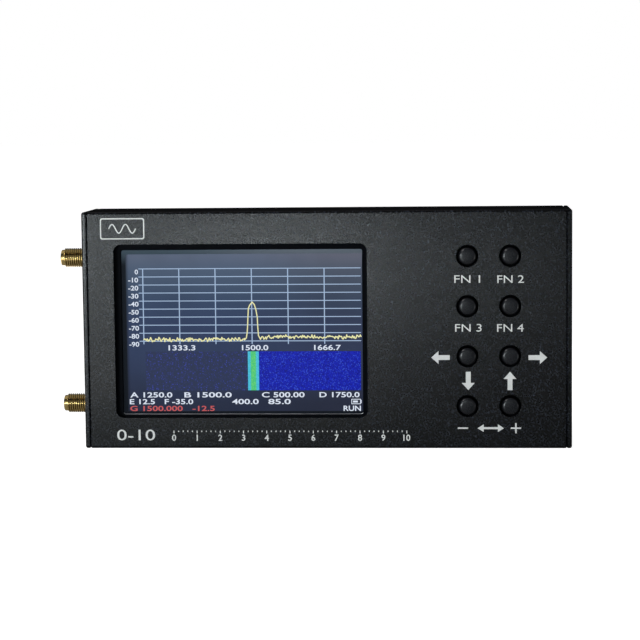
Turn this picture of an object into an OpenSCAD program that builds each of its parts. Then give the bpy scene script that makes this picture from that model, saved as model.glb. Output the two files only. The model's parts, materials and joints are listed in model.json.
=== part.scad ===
// Handheld spectrum analyzer in a split aluminium extrusion with two end plates.
// Millimetres. X runs to the right, Y to the back, Z up. The origin is the centre of the bottom face.

/* [Case] */
// Overall width over both end plates
case_w = 160; // [152:1:200]
// Overall height
case_h = 78; // [76:1:110]
// Overall depth from front to back
case_d = 27; // [26:0.5:40]
// Wall thickness of both case halves
wall_t = 2; // [1.6:0.1:2.3]
// Radius of the long edges and of the plate rims
edge_r = 0.8; // [0.4:0.1:1]
// Distance from the front face to the seam between the halves
seam_depth = 15.5; // [14:0.5:18]
// Length of the lap joint at the seam
lap_len = 1.5; // [1:0.1:2.5]
// Clearance in the lap joint
lap_gap = 0.05; // [0.02:0.01:0.15]

/* [End plates] */
// Thickness of the full outline of a plate
plate_t = 1.3; // [1.2:0.1:2.5]
// Thickness of the land that makes the shadow line
land_t = 0.4; // [0.2:0.1:0.8]
// How far the land is set in from the outline
land_inset = 0.8; // [0.5:0.1:1.2]

/* [Plate screws] */
// Distance from the outer faces to a screw axis
screw_inset = 4.3; // [4.1:0.1:4.8]
// Diameter of the screw shank
screw_d = 2.9; // [2.4:0.1:3]
// Diameter of the countersunk head
screw_head_d = 5.5; // [4.8:0.1:5.8]
// Height of the countersunk head
screw_head_h = 1.2; // [1:0.1:1.4]
// Length of the whole screw
screw_len = 9; // [6:0.5:14]
// Clearance round the shank and the head
screw_gap = 0.05; // [0.03:0.01:0.1]
// Width across the flats of the socket in the head
socket_flats = 2; // [1.5:0.1:2.2]
// Depth of the socket in the head
socket_depth = 0.9; // [0.6:0.1:1]
// Wall of the screw channel round its bore
channel_wall = 0.85; // [0.6:0.05:1]

/* [Screen] */
// Width of the window in the front wall
window_w = 83; // [70:0.5:88]
// Corner radius of the window
window_r = 2.5; // [1:0.5:4]
// Distance from the left side to the window
window_left = 10.5; // [9:0.5:14]
// Distance from the bottom to the window
window_bottom = 10; // [9.6:0.1:14]
// Distance from the top to the window
window_top = 10.7; // [10:0.1:14]
// Distance from the window's sides to the lit picture
picture_edge_x = 3; // [2.5:0.1:8]
// Mean distance from the window's top and bottom to the lit picture
picture_edge_z = 2.85; // [2.5:0.05:8]
// How far the picture sits below the middle of the window
picture_drop = 0.5; // [0:0.1:0.8]
// Dark margin between the picture and the bezel
picture_margin = 1.4; // [1:0.1:1.6]
// How far the cell reaches behind the bezel
cell_overlap = 1.4; // [0.8:0.1:1.6]
// How far the bezel reaches past the window
bezel_overlap = 2.5; // [2:0.1:2.6]
// Thickness of the foam gasket
gasket_t = 0.4; // [0.2:0.1:0.6]
// Width of the foam gasket
gasket_w = 1.8; // [1:0.1:1.9]
// Distance from the window to the gasket
gasket_inset = 0.3; // [0.1:0.1:0.4]
// Thickness of the stamped bezel
bezel_t = 0.4; // [0.3:0.1:0.6]
// Thickness of the glass cell
cell_t = 1.8; // [1.2:0.1:2.2]
// Thickness of the backlight
backlight_t = 2.5; // [2:0.1:3]
// Clearance of the cell in its tray
cell_gap = 0.1; // [0.05:0.01:0.2]
// Length of the flat ribbon beside the display
ribbon_len = 4; // [3:0.5:10]
// Width of the flat ribbon
ribbon_w = 28; // [16:1:32]
// Thickness of the flat ribbon
ribbon_t = 0.3; // [0.2:0.1:0.4]
// Depth of the ribbon connector along the ribbon
ribbon_socket_len = 4; // [3:0.5:6]
// Height of the ribbon connector above the board
ribbon_socket_h = 1.4; // [1:0.1:2]
// Length that the ribbon connector adds at each end of the ribbon's width
ribbon_socket_end = 2; // [1:0.5:3]

/* [Keys] */
// Diameter of a key cap
key_d = 6.9; // [6:0.1:8]
// Clearance between a key cap and its hole
key_gap = 0.25; // [0.2:0.05:0.4]
// How far a key stands proud of the front
key_proud = 1.2; // [0.8:0.1:2]
// Radius of the rim of a key cap
key_rim_r = 0.9; // [0.4:0.1:1.2]
// How far the flange reaches past the cap
key_flange = 0.85; // [0.6:0.05:1.2]
// Thickness of the flange
key_flange_t = 0.8; // [0.6:0.1:1]
// Travel of a key
key_travel = 0.5; // [0.3:0.1:0.6]
// Spacing of the two key columns
key_pitch_x = 13.9; // [12:0.1:16]
// Distance from the right side to the right column
key_right = 20; // [14:0.5:22]
// Height of the lowest row above the bottom
key_low_z = 14; // [12:0.5:15]
// Distance from the top to the highest row
key_top = 14.95; // [12:0.05:16]
// Width of a key switch body
switch_w = 6; // [5:0.5:6.5]
// Height of a key switch body above the board
switch_h = 3.2; // [2.8:0.1:3.3]
// Diameter of a switch plunger
plunger_d = 3.4; // [2.5:0.1:3.6]
// Clearance between a plunger and its bore
plunger_gap = 0.1; // [0.05:0.01:0.15]
// How far a plunger sits in its body at rest
plunger_seat = 0.9; // [0.6:0.1:1.2]
// Room left under a pressed plunger
plunger_room = 0.2; // [0.1:0.1:0.4]

/* [Boards] */
// Thickness of both boards
board_t = 1.6; // [1.2:0.1:1.8]
// Gap between a board's edge and the end of the case
board_end_gap = 0.5; // [0.3:0.1:1]
// Height of the ribs that guide the front board
rib_h = 2; // [1.6:0.1:2.4]
// Thickness of a guide rib
rib_t = 1; // [0.8:0.1:1.4]
// Gap between the front board's edge and the case wall
rib_room = 0.6; // [0.3:0.1:0.8]
// Clearance of the front board in its groove
rib_gap = 0.05; // [0.02:0.01:0.1]
// Gap between the two boards
standoff_h = 5.2; // [4.8:0.1:5.8]
// Diameter of a standoff
standoff_d = 4.8; // [4.2:0.1:5.4]
// Distance from the radio board's end to a standoff
standoff_inset_x = 11; // [9:0.5:13]
// Distance from the radio board's side to a standoff
standoff_inset_z = 4.5; // [4:0.5:5]
// Diameter of a board screw
board_screw_d = 2.4; // [2:0.1:2.6]
// Clearance round a board screw
board_screw_gap = 0.05; // [0.03:0.01:0.1]
// Diameter of a board screw's head
board_screw_head_d = 4.4; // [3.8:0.1:4.8]
// Height of a board screw's head
board_screw_head_h = 1.4; // [1:0.1:1.6]
// Width across the flats of the socket in a board screw's head
board_socket_flats = 2; // [1.5:0.1:2.5]
// How far a board screw stops short of the front board
board_screw_short = 0.5; // [0.3:0.1:1]
// Distance from the radio board's sides to the case's outer faces
radio_inset = 5; // [4.5:0.5:6]
// Height of the pin header on the radio board
header_h = 2.5; // [1.5:0.1:3]
// Width of the header and of its socket
header_w = 5; // [4:0.5:6]
// Length of the header and of its socket
header_len = 25.4; // [15:0.1:40]
// Distance from the right side to the middle of the header
header_right = 48; // [46:0.5:50]

/* [Radio parts] */
// Distance from the radio board's left end to the shield
shield_left = 16; // [14:0.5:18]
// Width of the shield
shield_w = 48; // [40:1:52]
// Height of the shield
shield_len = 50; // [40:1:52]
// Height of the shield fence above the board
shield_h = 2.6; // [2.2:0.1:3]
// Thickness of the shield's sheet metal
sheet_t = 0.4; // [0.3:0.1:0.5]
// How far the lid's skirt laps the fence
skirt_len = 1.2; // [0.8:0.1:1.6]
// Clearance between the skirt and the fence
skirt_gap = 0.05; // [0.03:0.01:0.1]
// Size of a radio chip
chip_w = 5; // [3:0.5:7]
// Thickness of a radio chip
chip_t = 0.9; // [0.6:0.1:1.2]
// Spacing of the radio chips
chip_pitch = 13; // [9:0.5:14]
// Size of the processor
processor_w = 10; // [7:0.5:12]
// Thickness of the processor
processor_t = 1.4; // [1:0.1:1.6]
// Distance from the shield to the middle of the processor
processor_right = 13; // [11:0.5:15]
// Length of the clock crystal's can
crystal_len = 5; // [3:0.5:6]
// Width of the clock crystal's can
crystal_w = 3.2; // [2:0.1:4]
// Thickness of the clock crystal's can
crystal_t = 1.1; // [0.7:0.1:1.4]
// Distance from the middle of the processor to the crystal
crystal_below = 11; // [10:0.5:14]

/* [Battery] */
// Length of the cell
battery_w = 90; // [70:1:92]
// Distance from the case's outer faces to the cell's long edges
battery_margin = 9; // [9:0.5:18]
// Gap between the radio board and the cell
battery_gap = 2.1; // [1.8:0.1:4]
// Thickness of the adhesive pad behind the cell
pad_t = 0.6; // [0.4:0.1:1]
// How far the pad is set in from the cell's outline
pad_inset = 5; // [2:0.5:8]
// Diameter of a battery lead
lead_d = 1.2; // [0.8:0.1:1.4]
// Spacing of the two battery leads
lead_pitch = 2.5; // [2:0.1:4]
// Length of the leads between the cell and the plug
lead_len = 5; // [4:0.5:8]
// Length of the battery plug
plug_len = 7; // [6:0.5:8]
// Width of the battery plug
plug_w = 7.5; // [6:0.5:8]
// Thickness of the battery plug
plug_t = 3.8; // [3.4:0.1:4]
// How far the plug goes into its socket
plug_depth = 4; // [3:0.5:4.5]
// Clearance between the plug and its socket
plug_gap = 0.1; // [0.05:0.01:0.15]
// Wall of the battery socket
plug_socket_wall = 1.2; // [0.8:0.1:1.3]

/* [Charging socket] */
// Width of the socket shell's oval
usb_w = 8.94; // [8:0.02:9.5]
// Thickness of the socket shell's oval
usb_t = 3.26; // [3:0.02:3.6]
// Length of the socket shell
usb_len = 7.3; // [6:0.1:8]
// Sheet thickness of the socket shell
usb_sheet = 0.3; // [0.2:0.05:0.4]
// How far the socket's mouth lies inside the plate's outer face
usb_recess = 0.4; // [0.2:0.1:0.8]
// Clearance between the socket and the hole in the plate
usb_gap = 0.25; // [0.15:0.05:0.4]
// Height of the socket's middle above the bottom
usb_z = 24; // [18:0.5:28]
// Width of the tongue
usb_tongue_w = 6.7; // [6:0.1:7]
// Thickness of the tongue
usb_tongue_t = 0.7; // [0.5:0.1:0.8]
// Length of the solid base behind the tongue
usb_base_len = 2.2; // [1.5:0.1:3]
// How far the tongue's tip lies inside the mouth
usb_tip = 0.6; // [0.4:0.1:1]

/* [Power switch] */
// Distance from the top to the switch's middle
power_top = 26; // [24:0.5:30]
// Length of the switch body
power_len = 9; // [8:0.5:11]
// Depth of the switch body behind the plate
power_depth = 5; // [4:0.5:6]
// Thickness of the switch body on the board
power_t = 3.6; // [3:0.1:4]
// Gap between the switch body and the plate
power_gap = 0.4; // [0.2:0.1:0.6]
// Height of the lever
lever_len = 2.4; // [2:0.1:3]
// Thickness of the lever
lever_t = 1.6; // [1.2:0.1:1.8]
// Travel of the lever
lever_travel = 2; // [1.5:0.1:2.5]
// How far the lever stands proud of the plate
lever_proud = 0.4; // [0.2:0.1:0.6]
// How far the lever sits in its body
lever_seat = 2.4; // [1.5:0.1:3]
// Clearance round the lever in its body
lever_gap = 0.15; // [0.1:0.05:0.25]
// Clearance round the lever in the plate
lever_slot_gap = 0.35; // [0.2:0.05:0.5]

/* [Status light] */
// Height of the status light above the bottom
status_z = 38; // [36:0.5:40]
// Diameter of the light pipe
status_d = 2; // [1.5:0.1:2.6]
// Clearance between the light pipe and the plate
status_gap = 0.05; // [0.03:0.01:0.1]
// Length of the light pipe
status_len = 4; // [3:0.5:5]
// Size of the light emitter
emitter_w = 1.8; // [1.2:0.1:2]
// Thickness of the light emitter on the board
emitter_t = 2.4; // [2:0.1:2.8]

/* [Coaxial jacks] */
// Outside diameter of the thread
thread_d = 6.35; // [6:0.05:7]
// Pitch of the thread
thread_pitch = 0.7056; // [0.6:0.0001:0.8]
// Width of the thread's crest
thread_crest = 0.26; // [0.24:0.01:0.3]
// Number of turns in the thread
thread_turns = 10; // [8:1:12]
// Half angle of the thread's flank
thread_flank = 30; // [28:1:32]
// Diameter of the plain neck between the thread and the flange
neck_d = 5.8; // [5.6:0.1:5.9]
// Length of the neck outside the plate
neck_out = 0.7; // [0.4:0.1:1]
// Diameter of the plain nose at the tip
nose_d = 5.3; // [5:0.1:5.5]
// Length of the plain nose
nose_len = 1.3; // [1:0.1:2]
// Height of the lower jack above the bottom
jack_low_z = 13.35; // [12:0.05:15]
// Distance from the top to the upper jack
jack_top = 15.7; // [14:0.05:18]
// Clearance between a jack and its hole in the plate
jack_gap = 0.35; // [0.2:0.05:0.5]
// Width of the jack's square flange
flange_w = 7; // [6.6:0.1:8]
// Thickness of the jack's flange
flange_t = 1.6; // [1.2:0.1:2]
// Length of the legs that grip the board
leg_len = 4; // [3:0.5:5]
// Thickness of a leg
leg_t = 1.1; // [0.8:0.1:1.3]
// Diameter of the insulator
insulator_d = 4.1; // [3.9:0.05:4.2]
// Diameter of the mouth in front of the insulator
mouth_d = 4.6; // [4.4:0.05:4.7]
// Depth of the mouth in front of the insulator
mouth_depth = 1.9; // [1.5:0.1:2.5]
// Diameter of the centre contact
contact_d = 1.27; // [1.1:0.01:1.4]
// Diameter of the hole in the centre contact
contact_bore_d = 0.92; // [0.8:0.01:0.95]
// Depth of the hole in the centre contact
contact_bore_len = 3; // [2:0.5:4]
// Diameter of the solder pin on the board
pin_d = 0.8; // [0.6:0.1:1]
// Length of the solder pin on the board
pin_len = 2.5; // [2:0.5:4]
// Clearance between the pieces of a jack
jack_fit = 0.02; // [0.01:0.01:0.05]

/* [Hidden] */
$fn = 64;
cut = 1;
hex_sides = 6;

// Depths, stacked from the front wall to the back of the radio board
front_y = -case_d / 2;
back_y = case_d / 2;
panel_y = front_y + wall_t;
gasket_y = panel_y + gasket_t;
bezel_y = gasket_y + bezel_t;
cell_y = bezel_y + cell_t;
board_y = cell_y + backlight_t;
board_back_y = board_y + board_t;
radio_y = board_back_y + standoff_h;
radio_back_y = radio_y + board_t;
seam_y = front_y + seam_depth;

// Depths, stacked from the rear wall to the front of the cell
rear_wall_y = back_y - wall_t;
battery_back_y = rear_wall_y - pad_t;
battery_y = radio_back_y + battery_gap;

// Widths and heights of the case
side_x = case_w / 2;
plate_in_x = side_x - plate_t - land_t;
mid_z = case_h / 2;
screw_ys = [front_y + screw_inset, back_y - screw_inset];
screw_zs = [screw_inset, case_h - screw_inset];
screw_bore_r = screw_d / 2 + screw_gap;
channel_edge = screw_inset + screw_bore_r + channel_wall;

// Window and display
window_x = -side_x + window_left + window_w / 2;
window_h = case_h - window_bottom - window_top;
window_z = window_bottom + window_h / 2;
picture_w = window_w - 2 * picture_edge_x;
picture_h = window_h - 2 * picture_edge_z;
picture_z = window_z - picture_drop;
bezel_w = window_w + 2 * bezel_overlap;
bezel_h = window_h + 2 * bezel_overlap;
opening_w = picture_w + 2 * picture_margin;
opening_h = picture_h + 2 * picture_margin;
opening_r = window_r - picture_margin / 2;
cell_w = opening_w + 2 * cell_overlap;
cell_h = opening_h + 2 * cell_overlap;
bezel_right_x = window_x + bezel_w / 2;
ribbon_end_x = bezel_right_x + ribbon_len;

// Keys
KEY_NAMES = ["function_key_1", "function_key_2", "function_key_3", "function_key_4",
    "left_key", "right_key", "minus_key", "plus_key"];
key_columns = 2;
key_rows = 4;
key_right_x = side_x - key_right;
key_pitch_z = (case_h - key_low_z - key_top) / (key_rows - 1);
key_back_y = panel_y + key_flange_t;
key_front_y = front_y - key_proud;
switch_y = board_y - switch_h;
plunger_back_y = switch_y + plunger_seat;
plunger_floor_y = plunger_back_y + key_travel + plunger_room;

// Boards
board_x = plate_in_x - board_end_gap;
board_low_z = wall_t + rib_room;
jack_seat_x = -plate_in_x + flange_t;
standoff_xs = [jack_seat_x + standoff_inset_x, board_x - standoff_inset_x];
standoff_zs = [radio_inset + standoff_inset_z, case_h - radio_inset - standoff_inset_z];
header_x = side_x - header_right;

// Radio parts
shield_x = jack_seat_x + shield_left + shield_w / 2;
shield_top_y = radio_y - shield_h;
chip_rows = 3;
processor_x = shield_x + shield_w / 2 + processor_right;
power_part_w = 4;
power_part_t = 2;
power_part_pitch = 6;
power_part_right = 16;

// Battery and its wiring
battery_h = case_h - 2 * battery_margin;
plug_x = battery_w / 2 + lead_len;
plug_socket_t = plug_t + 2 * plug_gap + 2 * plug_socket_wall;
plug_y = radio_back_y + plug_socket_t / 2;
plug_socket_x = plug_x + plug_len - plug_depth;
plug_socket_end_x = plug_x + plug_len + plug_gap + plug_socket_wall;

// Right end plate
usb_mouth_x = side_x - usb_recess;
usb_y = radio_back_y + usb_t / 2;
usb_r = usb_t / 2 - usb_sheet;
power_front_x = plate_in_x - power_gap;
power_y = radio_back_y + power_t / 2;
power_z = case_h - power_top;
lever_z = power_z + lever_travel / 2;
lever_back_x = power_front_x - lever_seat;
status_y = radio_back_y + emitter_t / 2;
status_x = side_x - status_len;

// Jacks
JACK_NAMES = ["upper_jack", "lower_jack"];
JACK_PIECES = ["_shell", "_insulator", "_contact"];
jack_y = radio_y - pin_d / 2;
thread_r = thread_d / 2;
thread_root_r = thread_r - (thread_pitch - thread_crest) / 2 / tan(thread_flank);
thread_x = -side_x - neck_out;
thread_end_x = thread_x - thread_turns * thread_pitch;
nose_x = thread_end_x - nose_len;
insulator_x = nose_x + mouth_depth;

// A box from its lowest and highest values along each axis
module block(x, y, z) {
    translate([x[0], y[0], z[0]])
        cube([x[1] - x[0], y[1] - y[0], z[1] - z[0]]);
}

// A box from its middle and size in X and Z, and its two depths
module tile(x, z, w, h, y) {
    block([x - w / 2, x + w / 2], y, [z - h / 2, z + h / 2]);
}

// A centred rectangle with true round corners
module rounded_rect(w, h, r) {
    square([w - 2 * r, h], center = true);
    square([w, h - 2 * r], center = true);
    for (x = [-1, 1], y = [-1, 1])
        translate([x * (w / 2 - r), y * (h / 2 - r)])
            circle(r);
}

// Extrudes an outline drawn in Y and Z along X
module along_x(x0, x1) {
    translate([x0, 0, 0])
        rotate([90, 0, 90])
            linear_extrude(x1 - x0)
                children();
}

// Extrudes an outline drawn in X and Z along Y
module along_y(y0, y1) {
    translate([0, y1, 0])
        rotate([90, 0, 0])
            linear_extrude(y1 - y0)
                children();
}

// A round bar along X
module rod_x(x, y, z, r) {
    translate([x[0], y, z])
        rotate([0, 90, 0])
            cylinder(h = x[1] - x[0], r = r);
}

// A round bar along Y
module rod_y(x, y, z, r) {
    translate([x, y[1], z])
        rotate([90, 0, 0])
            cylinder(h = y[1] - y[0], r = r);
}

// A hexagon bar along Z from its width across the flats
module hex_bar(h, flats) {
    cylinder(h = h, d = flats / cos(180 / hex_sides), $fn = hex_sides);
}

// A flat frame with round corners, between two depths
module frame_y(x, z, outer, inner, outer_r, inner_r, inner_z, y) {
    along_y(y[0], y[1])
        difference() {
            translate([x, z])
                rounded_rect(outer[0], outer[1], outer_r);
            translate([x, inner_z])
                rounded_rect(inner[0], inner[1], inner_r);
        }
}

// The outline of the case in Y and Z, made smaller by inset
module case_outline(inset = 0) {
    translate([0, mid_z])
        rounded_rect(case_d - 2 * inset, case_h - 2 * inset, edge_r);
}

// The walls of the closed case in Y and Z
module case_ring() {
    difference() {
        case_outline();
        translate([0, mid_z])
            square([case_d - 2 * wall_t, case_h - 2 * wall_t], center = true);
    }
}

// The strips of the ring's height between two distances from its outer faces
module wall_bands(y, from, to) {
    for (side = [0, 1])
        translate([0, mid_z])
            mirror([0, side])
                translate([y[0], from - mid_z])
                    square([y[1] - y[0], to - from]);
}

// The corner blocks that hold the plate screws, for one half of the case
module screw_channels(y) {
    depth = channel_edge - wall_t;
    for (z = screw_zs)
        translate([
            y < 0 ? panel_y : rear_wall_y - depth,
            z < mid_z ? wall_t : case_h - wall_t - depth
        ])
            square([depth, depth]);
}

module screw_bores_2d(y) {
    for (z = screw_zs)
        translate([y, z])
            circle(screw_bore_r);
}

// The pairs of ribs that hold the front board's long edges
module board_ribs() {
    for (y = [board_y - rib_gap - rib_t, board_back_y + rib_gap])
        wall_bands([y, y + rib_t], wall_t, wall_t + rib_h);
}

module front_profile() {
    lap_y = seam_y - lap_len - lap_gap;
    difference() {
        union() {
            intersection() {
                case_ring();
                union() {
                    translate([front_y, 0])
                        square([lap_y - front_y, case_h]);
                    wall_bands([front_y, seam_y], 0, wall_t / 2);
                }
            }
            screw_channels(screw_ys[0]);
            board_ribs();
        }
        screw_bores_2d(screw_ys[0]);
    }
}

module rear_profile() {
    difference() {
        union() {
            intersection() {
                case_ring();
                union() {
                    translate([seam_y, 0])
                        square([back_y - seam_y, case_h]);
                    wall_bands([seam_y - lap_len, seam_y + cut], wall_t / 2 + lap_gap, wall_t);
                }
            }
            screw_channels(screw_ys[1]);
        }
        screw_bores_2d(screw_ys[1]);
    }
}

function key_x(k) = key_right_x - (key_columns - 1 - k % key_columns) * key_pitch_x;
function key_z(k) = key_low_z + (key_rows - 1 - floor(k / key_columns)) * key_pitch_z;
key_indices = [0 : len(KEY_NAMES) - 1];

module front_shell() {
    color([0.16, 0.17, 0.18])
        difference() {
            along_x(-plate_in_x, plate_in_x)
                front_profile();
            along_y(front_y - cut, panel_y + cut)
                translate([window_x, window_z])
                    rounded_rect(window_w, window_h, window_r);
            for (k = key_indices)
                rod_y(key_x(k), [front_y - cut, panel_y + cut], key_z(k), key_d / 2 + key_gap);
        }
}

module rear_shell() {
    color([0.15, 0.16, 0.17])
        along_x(-plate_in_x, plate_in_x)
            rear_profile();
}

// The edge view of a plate of one length, with round outer corners and flanks that clear the plate
module rim_outline(len) {
    translate([edge_r, -len / 2 - cut])
        square([plate_t - edge_r + cut, len + 2 * cut]);
    translate([0, edge_r - len / 2])
        square([plate_t, len - 2 * edge_r]);
    for (side = [-1, 1])
        translate([edge_r, side * (len / 2 - edge_r)])
            circle(edge_r);
}

// A plate for the left side with a rounded rim, an inner land and countersunk holes
module plate_blank() {
    difference() {
        union() {
            intersection() {
                along_x(-side_x, -side_x + plate_t)
                    case_outline();
                translate([-side_x, 0, mid_z])
                    along_y(front_y - cut, back_y + cut)
                        rim_outline(case_h);
                translate([-side_x, 0, -cut])
                    linear_extrude(case_h + 2 * cut)
                        rim_outline(case_d);
            }
            along_x(-side_x + plate_t, -plate_in_x)
                case_outline(land_inset);
        }
        for (y = screw_ys, z = screw_zs) {
            rod_x([-side_x - cut, -plate_in_x + cut], y, z, screw_bore_r);
            translate([-side_x, y, z])
                rotate([0, 90, 0])
                    cylinder(h = screw_head_h, r1 = screw_head_d / 2 + screw_gap, r2 = screw_bore_r);
        }
    }
}

// Four countersunk screws with hexagon sockets for the left plate
module plate_screws() {
    for (y = screw_ys, z = screw_zs)
        translate([-side_x, y, z])
            rotate([0, 90, 0])
                difference() {
                    union() {
                        cylinder(h = screw_head_h, r1 = screw_head_d / 2, r2 = screw_d / 2);
                        cylinder(h = screw_len, r = screw_d / 2);
                    }
                    translate([0, 0, -cut])
                        hex_bar(socket_depth + cut, socket_flats);
                }
}

function jack_z(j) = j == 0 ? case_h - jack_top : jack_low_z;
jack_indices = [0 : len(JACK_NAMES) - 1];

module left_end_plate() {
    color([0.17, 0.18, 0.19])
        difference() {
            plate_blank();
            for (j = jack_indices)
                rod_x([-side_x - cut, -plate_in_x + cut], jack_y, jack_z(j), neck_d / 2 + jack_gap);
        }
}

module right_end_plate() {
    color([0.17, 0.18, 0.19])
        difference() {
            mirror([1, 0, 0])
                plate_blank();
            along_x(plate_in_x - cut, side_x + cut)
                translate([usb_y, usb_z])
                    rounded_rect(usb_t + 2 * usb_gap, usb_w + 2 * usb_gap, usb_t / 2);
            block(
                [plate_in_x - cut, side_x + cut],
                [power_y - lever_t / 2 - lever_slot_gap, power_y + lever_t / 2 + lever_slot_gap],
                [
                    lever_z - lever_travel - lever_len / 2 - lever_slot_gap,
                    lever_z + lever_len / 2 + lever_slot_gap
                ]
            );
            rod_x([plate_in_x - cut, side_x + cut], status_y, status_z, status_d / 2 + status_gap);
        }
}

module left_plate_screws() {
    color([0.1, 0.1, 0.11])
        plate_screws();
}

module right_plate_screws() {
    color([0.1, 0.1, 0.11])
        mirror([1, 0, 0])
            plate_screws();
}

module screen_gasket() {
    inner = [window_w + 2 * gasket_inset, window_h + 2 * gasket_inset];
    outer = [inner[0] + 2 * gasket_w, inner[1] + 2 * gasket_w];
    color([0.08, 0.08, 0.08])
        frame_y(window_x, window_z, outer, inner, window_r, window_r, window_z, [panel_y, gasket_y]);
}

module lcd_bezel() {
    color([0.05, 0.05, 0.06])
        frame_y(window_x, window_z, [bezel_w, bezel_h], [opening_w, opening_h], opening_r, opening_r,
            picture_z, [gasket_y, bezel_y]);
}

module lcd_cell() {
    color([0.22, 0.26, 0.36])
        tile(window_x, picture_z, cell_w, cell_h, [bezel_y, cell_y]);
}

module lcd_backlight() {
    color([0.9, 0.9, 0.88])
        tile(window_x, picture_z, cell_w, cell_h, [cell_y, board_y]);
}

module lcd_tray() {
    color([0.12, 0.12, 0.13])
        difference() {
            tile(window_x, window_z, bezel_w, bezel_h, [bezel_y, board_y]);
            tile(window_x, picture_z, cell_w + 2 * cell_gap, cell_h + 2 * cell_gap,
                [bezel_y - cut, board_y + cut]);
        }
}

module lcd_ribbon() {
    color([0.75, 0.5, 0.15])
        block([bezel_right_x, ribbon_end_x], [board_y - ribbon_t, board_y],
            [window_z - ribbon_w / 2, window_z + ribbon_w / 2]);
}

module ribbon_connector() {
    half = ribbon_w / 2 + ribbon_socket_end;
    color([0.85, 0.83, 0.76])
        block([ribbon_end_x, ribbon_end_x + ribbon_socket_len], [board_y - ribbon_socket_h, board_y],
            [window_z - half, window_z + half]);
}

module front_board() {
    color([0.05, 0.3, 0.16])
        block([-board_x, board_x], [board_y, board_back_y], [board_low_z, case_h - board_low_z]);
}

// The eight switch bodies, each with a bore for its plunger
module key_switches() {
    color([0.1, 0.1, 0.1])
        for (k = key_indices)
            difference() {
                tile(key_x(k), key_z(k), switch_w, switch_w, [switch_y, board_y]);
                rod_y(key_x(k), [switch_y - cut, plunger_floor_y], key_z(k), plunger_d / 2 + plunger_gap);
            }
}

// A cap with a rounded rim on a flange that stops behind the front wall
module key(k) {
    r = key_d / 2;
    len = key_back_y - key_front_y;
    color([0.13, 0.14, 0.15])
        translate([key_x(k), key_back_y, key_z(k)])
            rotate([90, 0, 0])
                rotate_extrude() {
                    square([r + key_flange, key_flange_t]);
                    square([r, len - key_rim_r]);
                    square([r - key_rim_r, len]);
                    translate([r - key_rim_r, len - key_rim_r])
                        circle(key_rim_r);
                }
}

module key_plunger(k) {
    color([0.75, 0.15, 0.12])
        rod_y(key_x(k), [key_back_y, plunger_back_y], key_z(k), plunger_d / 2);
}

module board_standoffs() {
    color([0.8, 0.7, 0.4])
        for (x = standoff_xs, z = standoff_zs)
            difference() {
                rod_y(x, [board_back_y, radio_y], z, standoff_d / 2);
                rod_y(x, [board_back_y - cut, radio_y + cut], z, board_screw_d / 2 + board_screw_gap);
            }
}

module board_screws() {
    color([0.7, 0.7, 0.72])
        for (x = standoff_xs, z = standoff_zs)
            difference() {
                union() {
                    rod_y(x, [board_back_y + board_screw_short, radio_back_y], z, board_screw_d / 2);
                    rod_y(x, [radio_back_y, radio_back_y + board_screw_head_h], z, board_screw_head_d / 2);
                }
                translate([x, radio_back_y + board_screw_head_h / 2, z])
                    rotate([-90, 0, 0])
                        hex_bar(board_screw_head_h, board_socket_flats);
            }
}

module board_header() {
    color([0.12, 0.12, 0.13])
        tile(header_x, mid_z, header_w, header_len, [radio_y - header_h, radio_y]);
}

module board_socket() {
    color([0.18, 0.18, 0.2])
        tile(header_x, mid_z, header_w, header_len, [board_back_y, radio_y - header_h]);
}

module radio_board() {
    color([0.06, 0.22, 0.4])
        difference() {
            block([jack_seat_x, board_x], [radio_y, radio_back_y], [radio_inset, case_h - radio_inset]);
            for (x = standoff_xs, z = standoff_zs)
                rod_y(x, [radio_y - cut, radio_back_y + cut], z, board_screw_d / 2 + board_screw_gap);
        }
}

module shield_fence() {
    color([0.75, 0.75, 0.76])
        difference() {
            tile(shield_x, mid_z, shield_w, shield_len, [shield_top_y, radio_y]);
            tile(shield_x, mid_z, shield_w - 2 * sheet_t, shield_len - 2 * sheet_t,
                [shield_top_y - cut, radio_y + cut]);
        }
}

// A shallow cap whose skirt laps the fence
module shield_lid() {
    in_w = shield_w + 2 * skirt_gap;
    in_len = shield_len + 2 * skirt_gap;
    color([0.8, 0.8, 0.81])
        difference() {
            tile(shield_x, mid_z, in_w + 2 * sheet_t, in_len + 2 * sheet_t,
                [shield_top_y - sheet_t, shield_top_y + skirt_len]);
            tile(shield_x, mid_z, in_w, in_len, [shield_top_y, shield_top_y + skirt_len + cut]);
        }
}

module radio_chips() {
    color([0.09, 0.09, 0.1])
        for (i = [0 : chip_rows - 1])
            tile(shield_x, mid_z + (i - (chip_rows - 1) / 2) * chip_pitch, chip_w, chip_w,
                [radio_y - chip_t, radio_y]);
}

module processor() {
    color([0.09, 0.09, 0.1])
        tile(processor_x, mid_z, processor_w, processor_w, [radio_y - processor_t, radio_y]);
}

module clock_crystal() {
    color([0.78, 0.78, 0.8])
        tile(processor_x, mid_z - crystal_below, crystal_len, crystal_w, [radio_y - crystal_t, radio_y]);
}

// Two chokes of the charging circuit, beside the charging socket
module power_parts() {
    color([0.3, 0.3, 0.32])
        for (side = [-1, 1])
            tile(board_x - power_part_right, usb_z + side * power_part_pitch / 2, power_part_w, power_part_w,
                [radio_back_y, radio_back_y + power_part_t]);
}

module battery_cell() {
    color([0.72, 0.74, 0.77])
        tile(0, mid_z, battery_w, battery_h, [battery_y, battery_back_y]);
}

module battery_pad() {
    color([0.9, 0.88, 0.8])
        tile(0, mid_z, battery_w - 2 * pad_inset, battery_h - 2 * pad_inset, [battery_back_y, rear_wall_y]);
}

module battery_lead(side) {
    rod_x([battery_w / 2, plug_x], plug_y, mid_z + side * lead_pitch / 2, lead_d / 2);
}

module battery_lead_red() {
    color([0.75, 0.1, 0.1])
        battery_lead(1);
}

module battery_lead_black() {
    color([0.08, 0.08, 0.08])
        battery_lead(-1);
}

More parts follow.
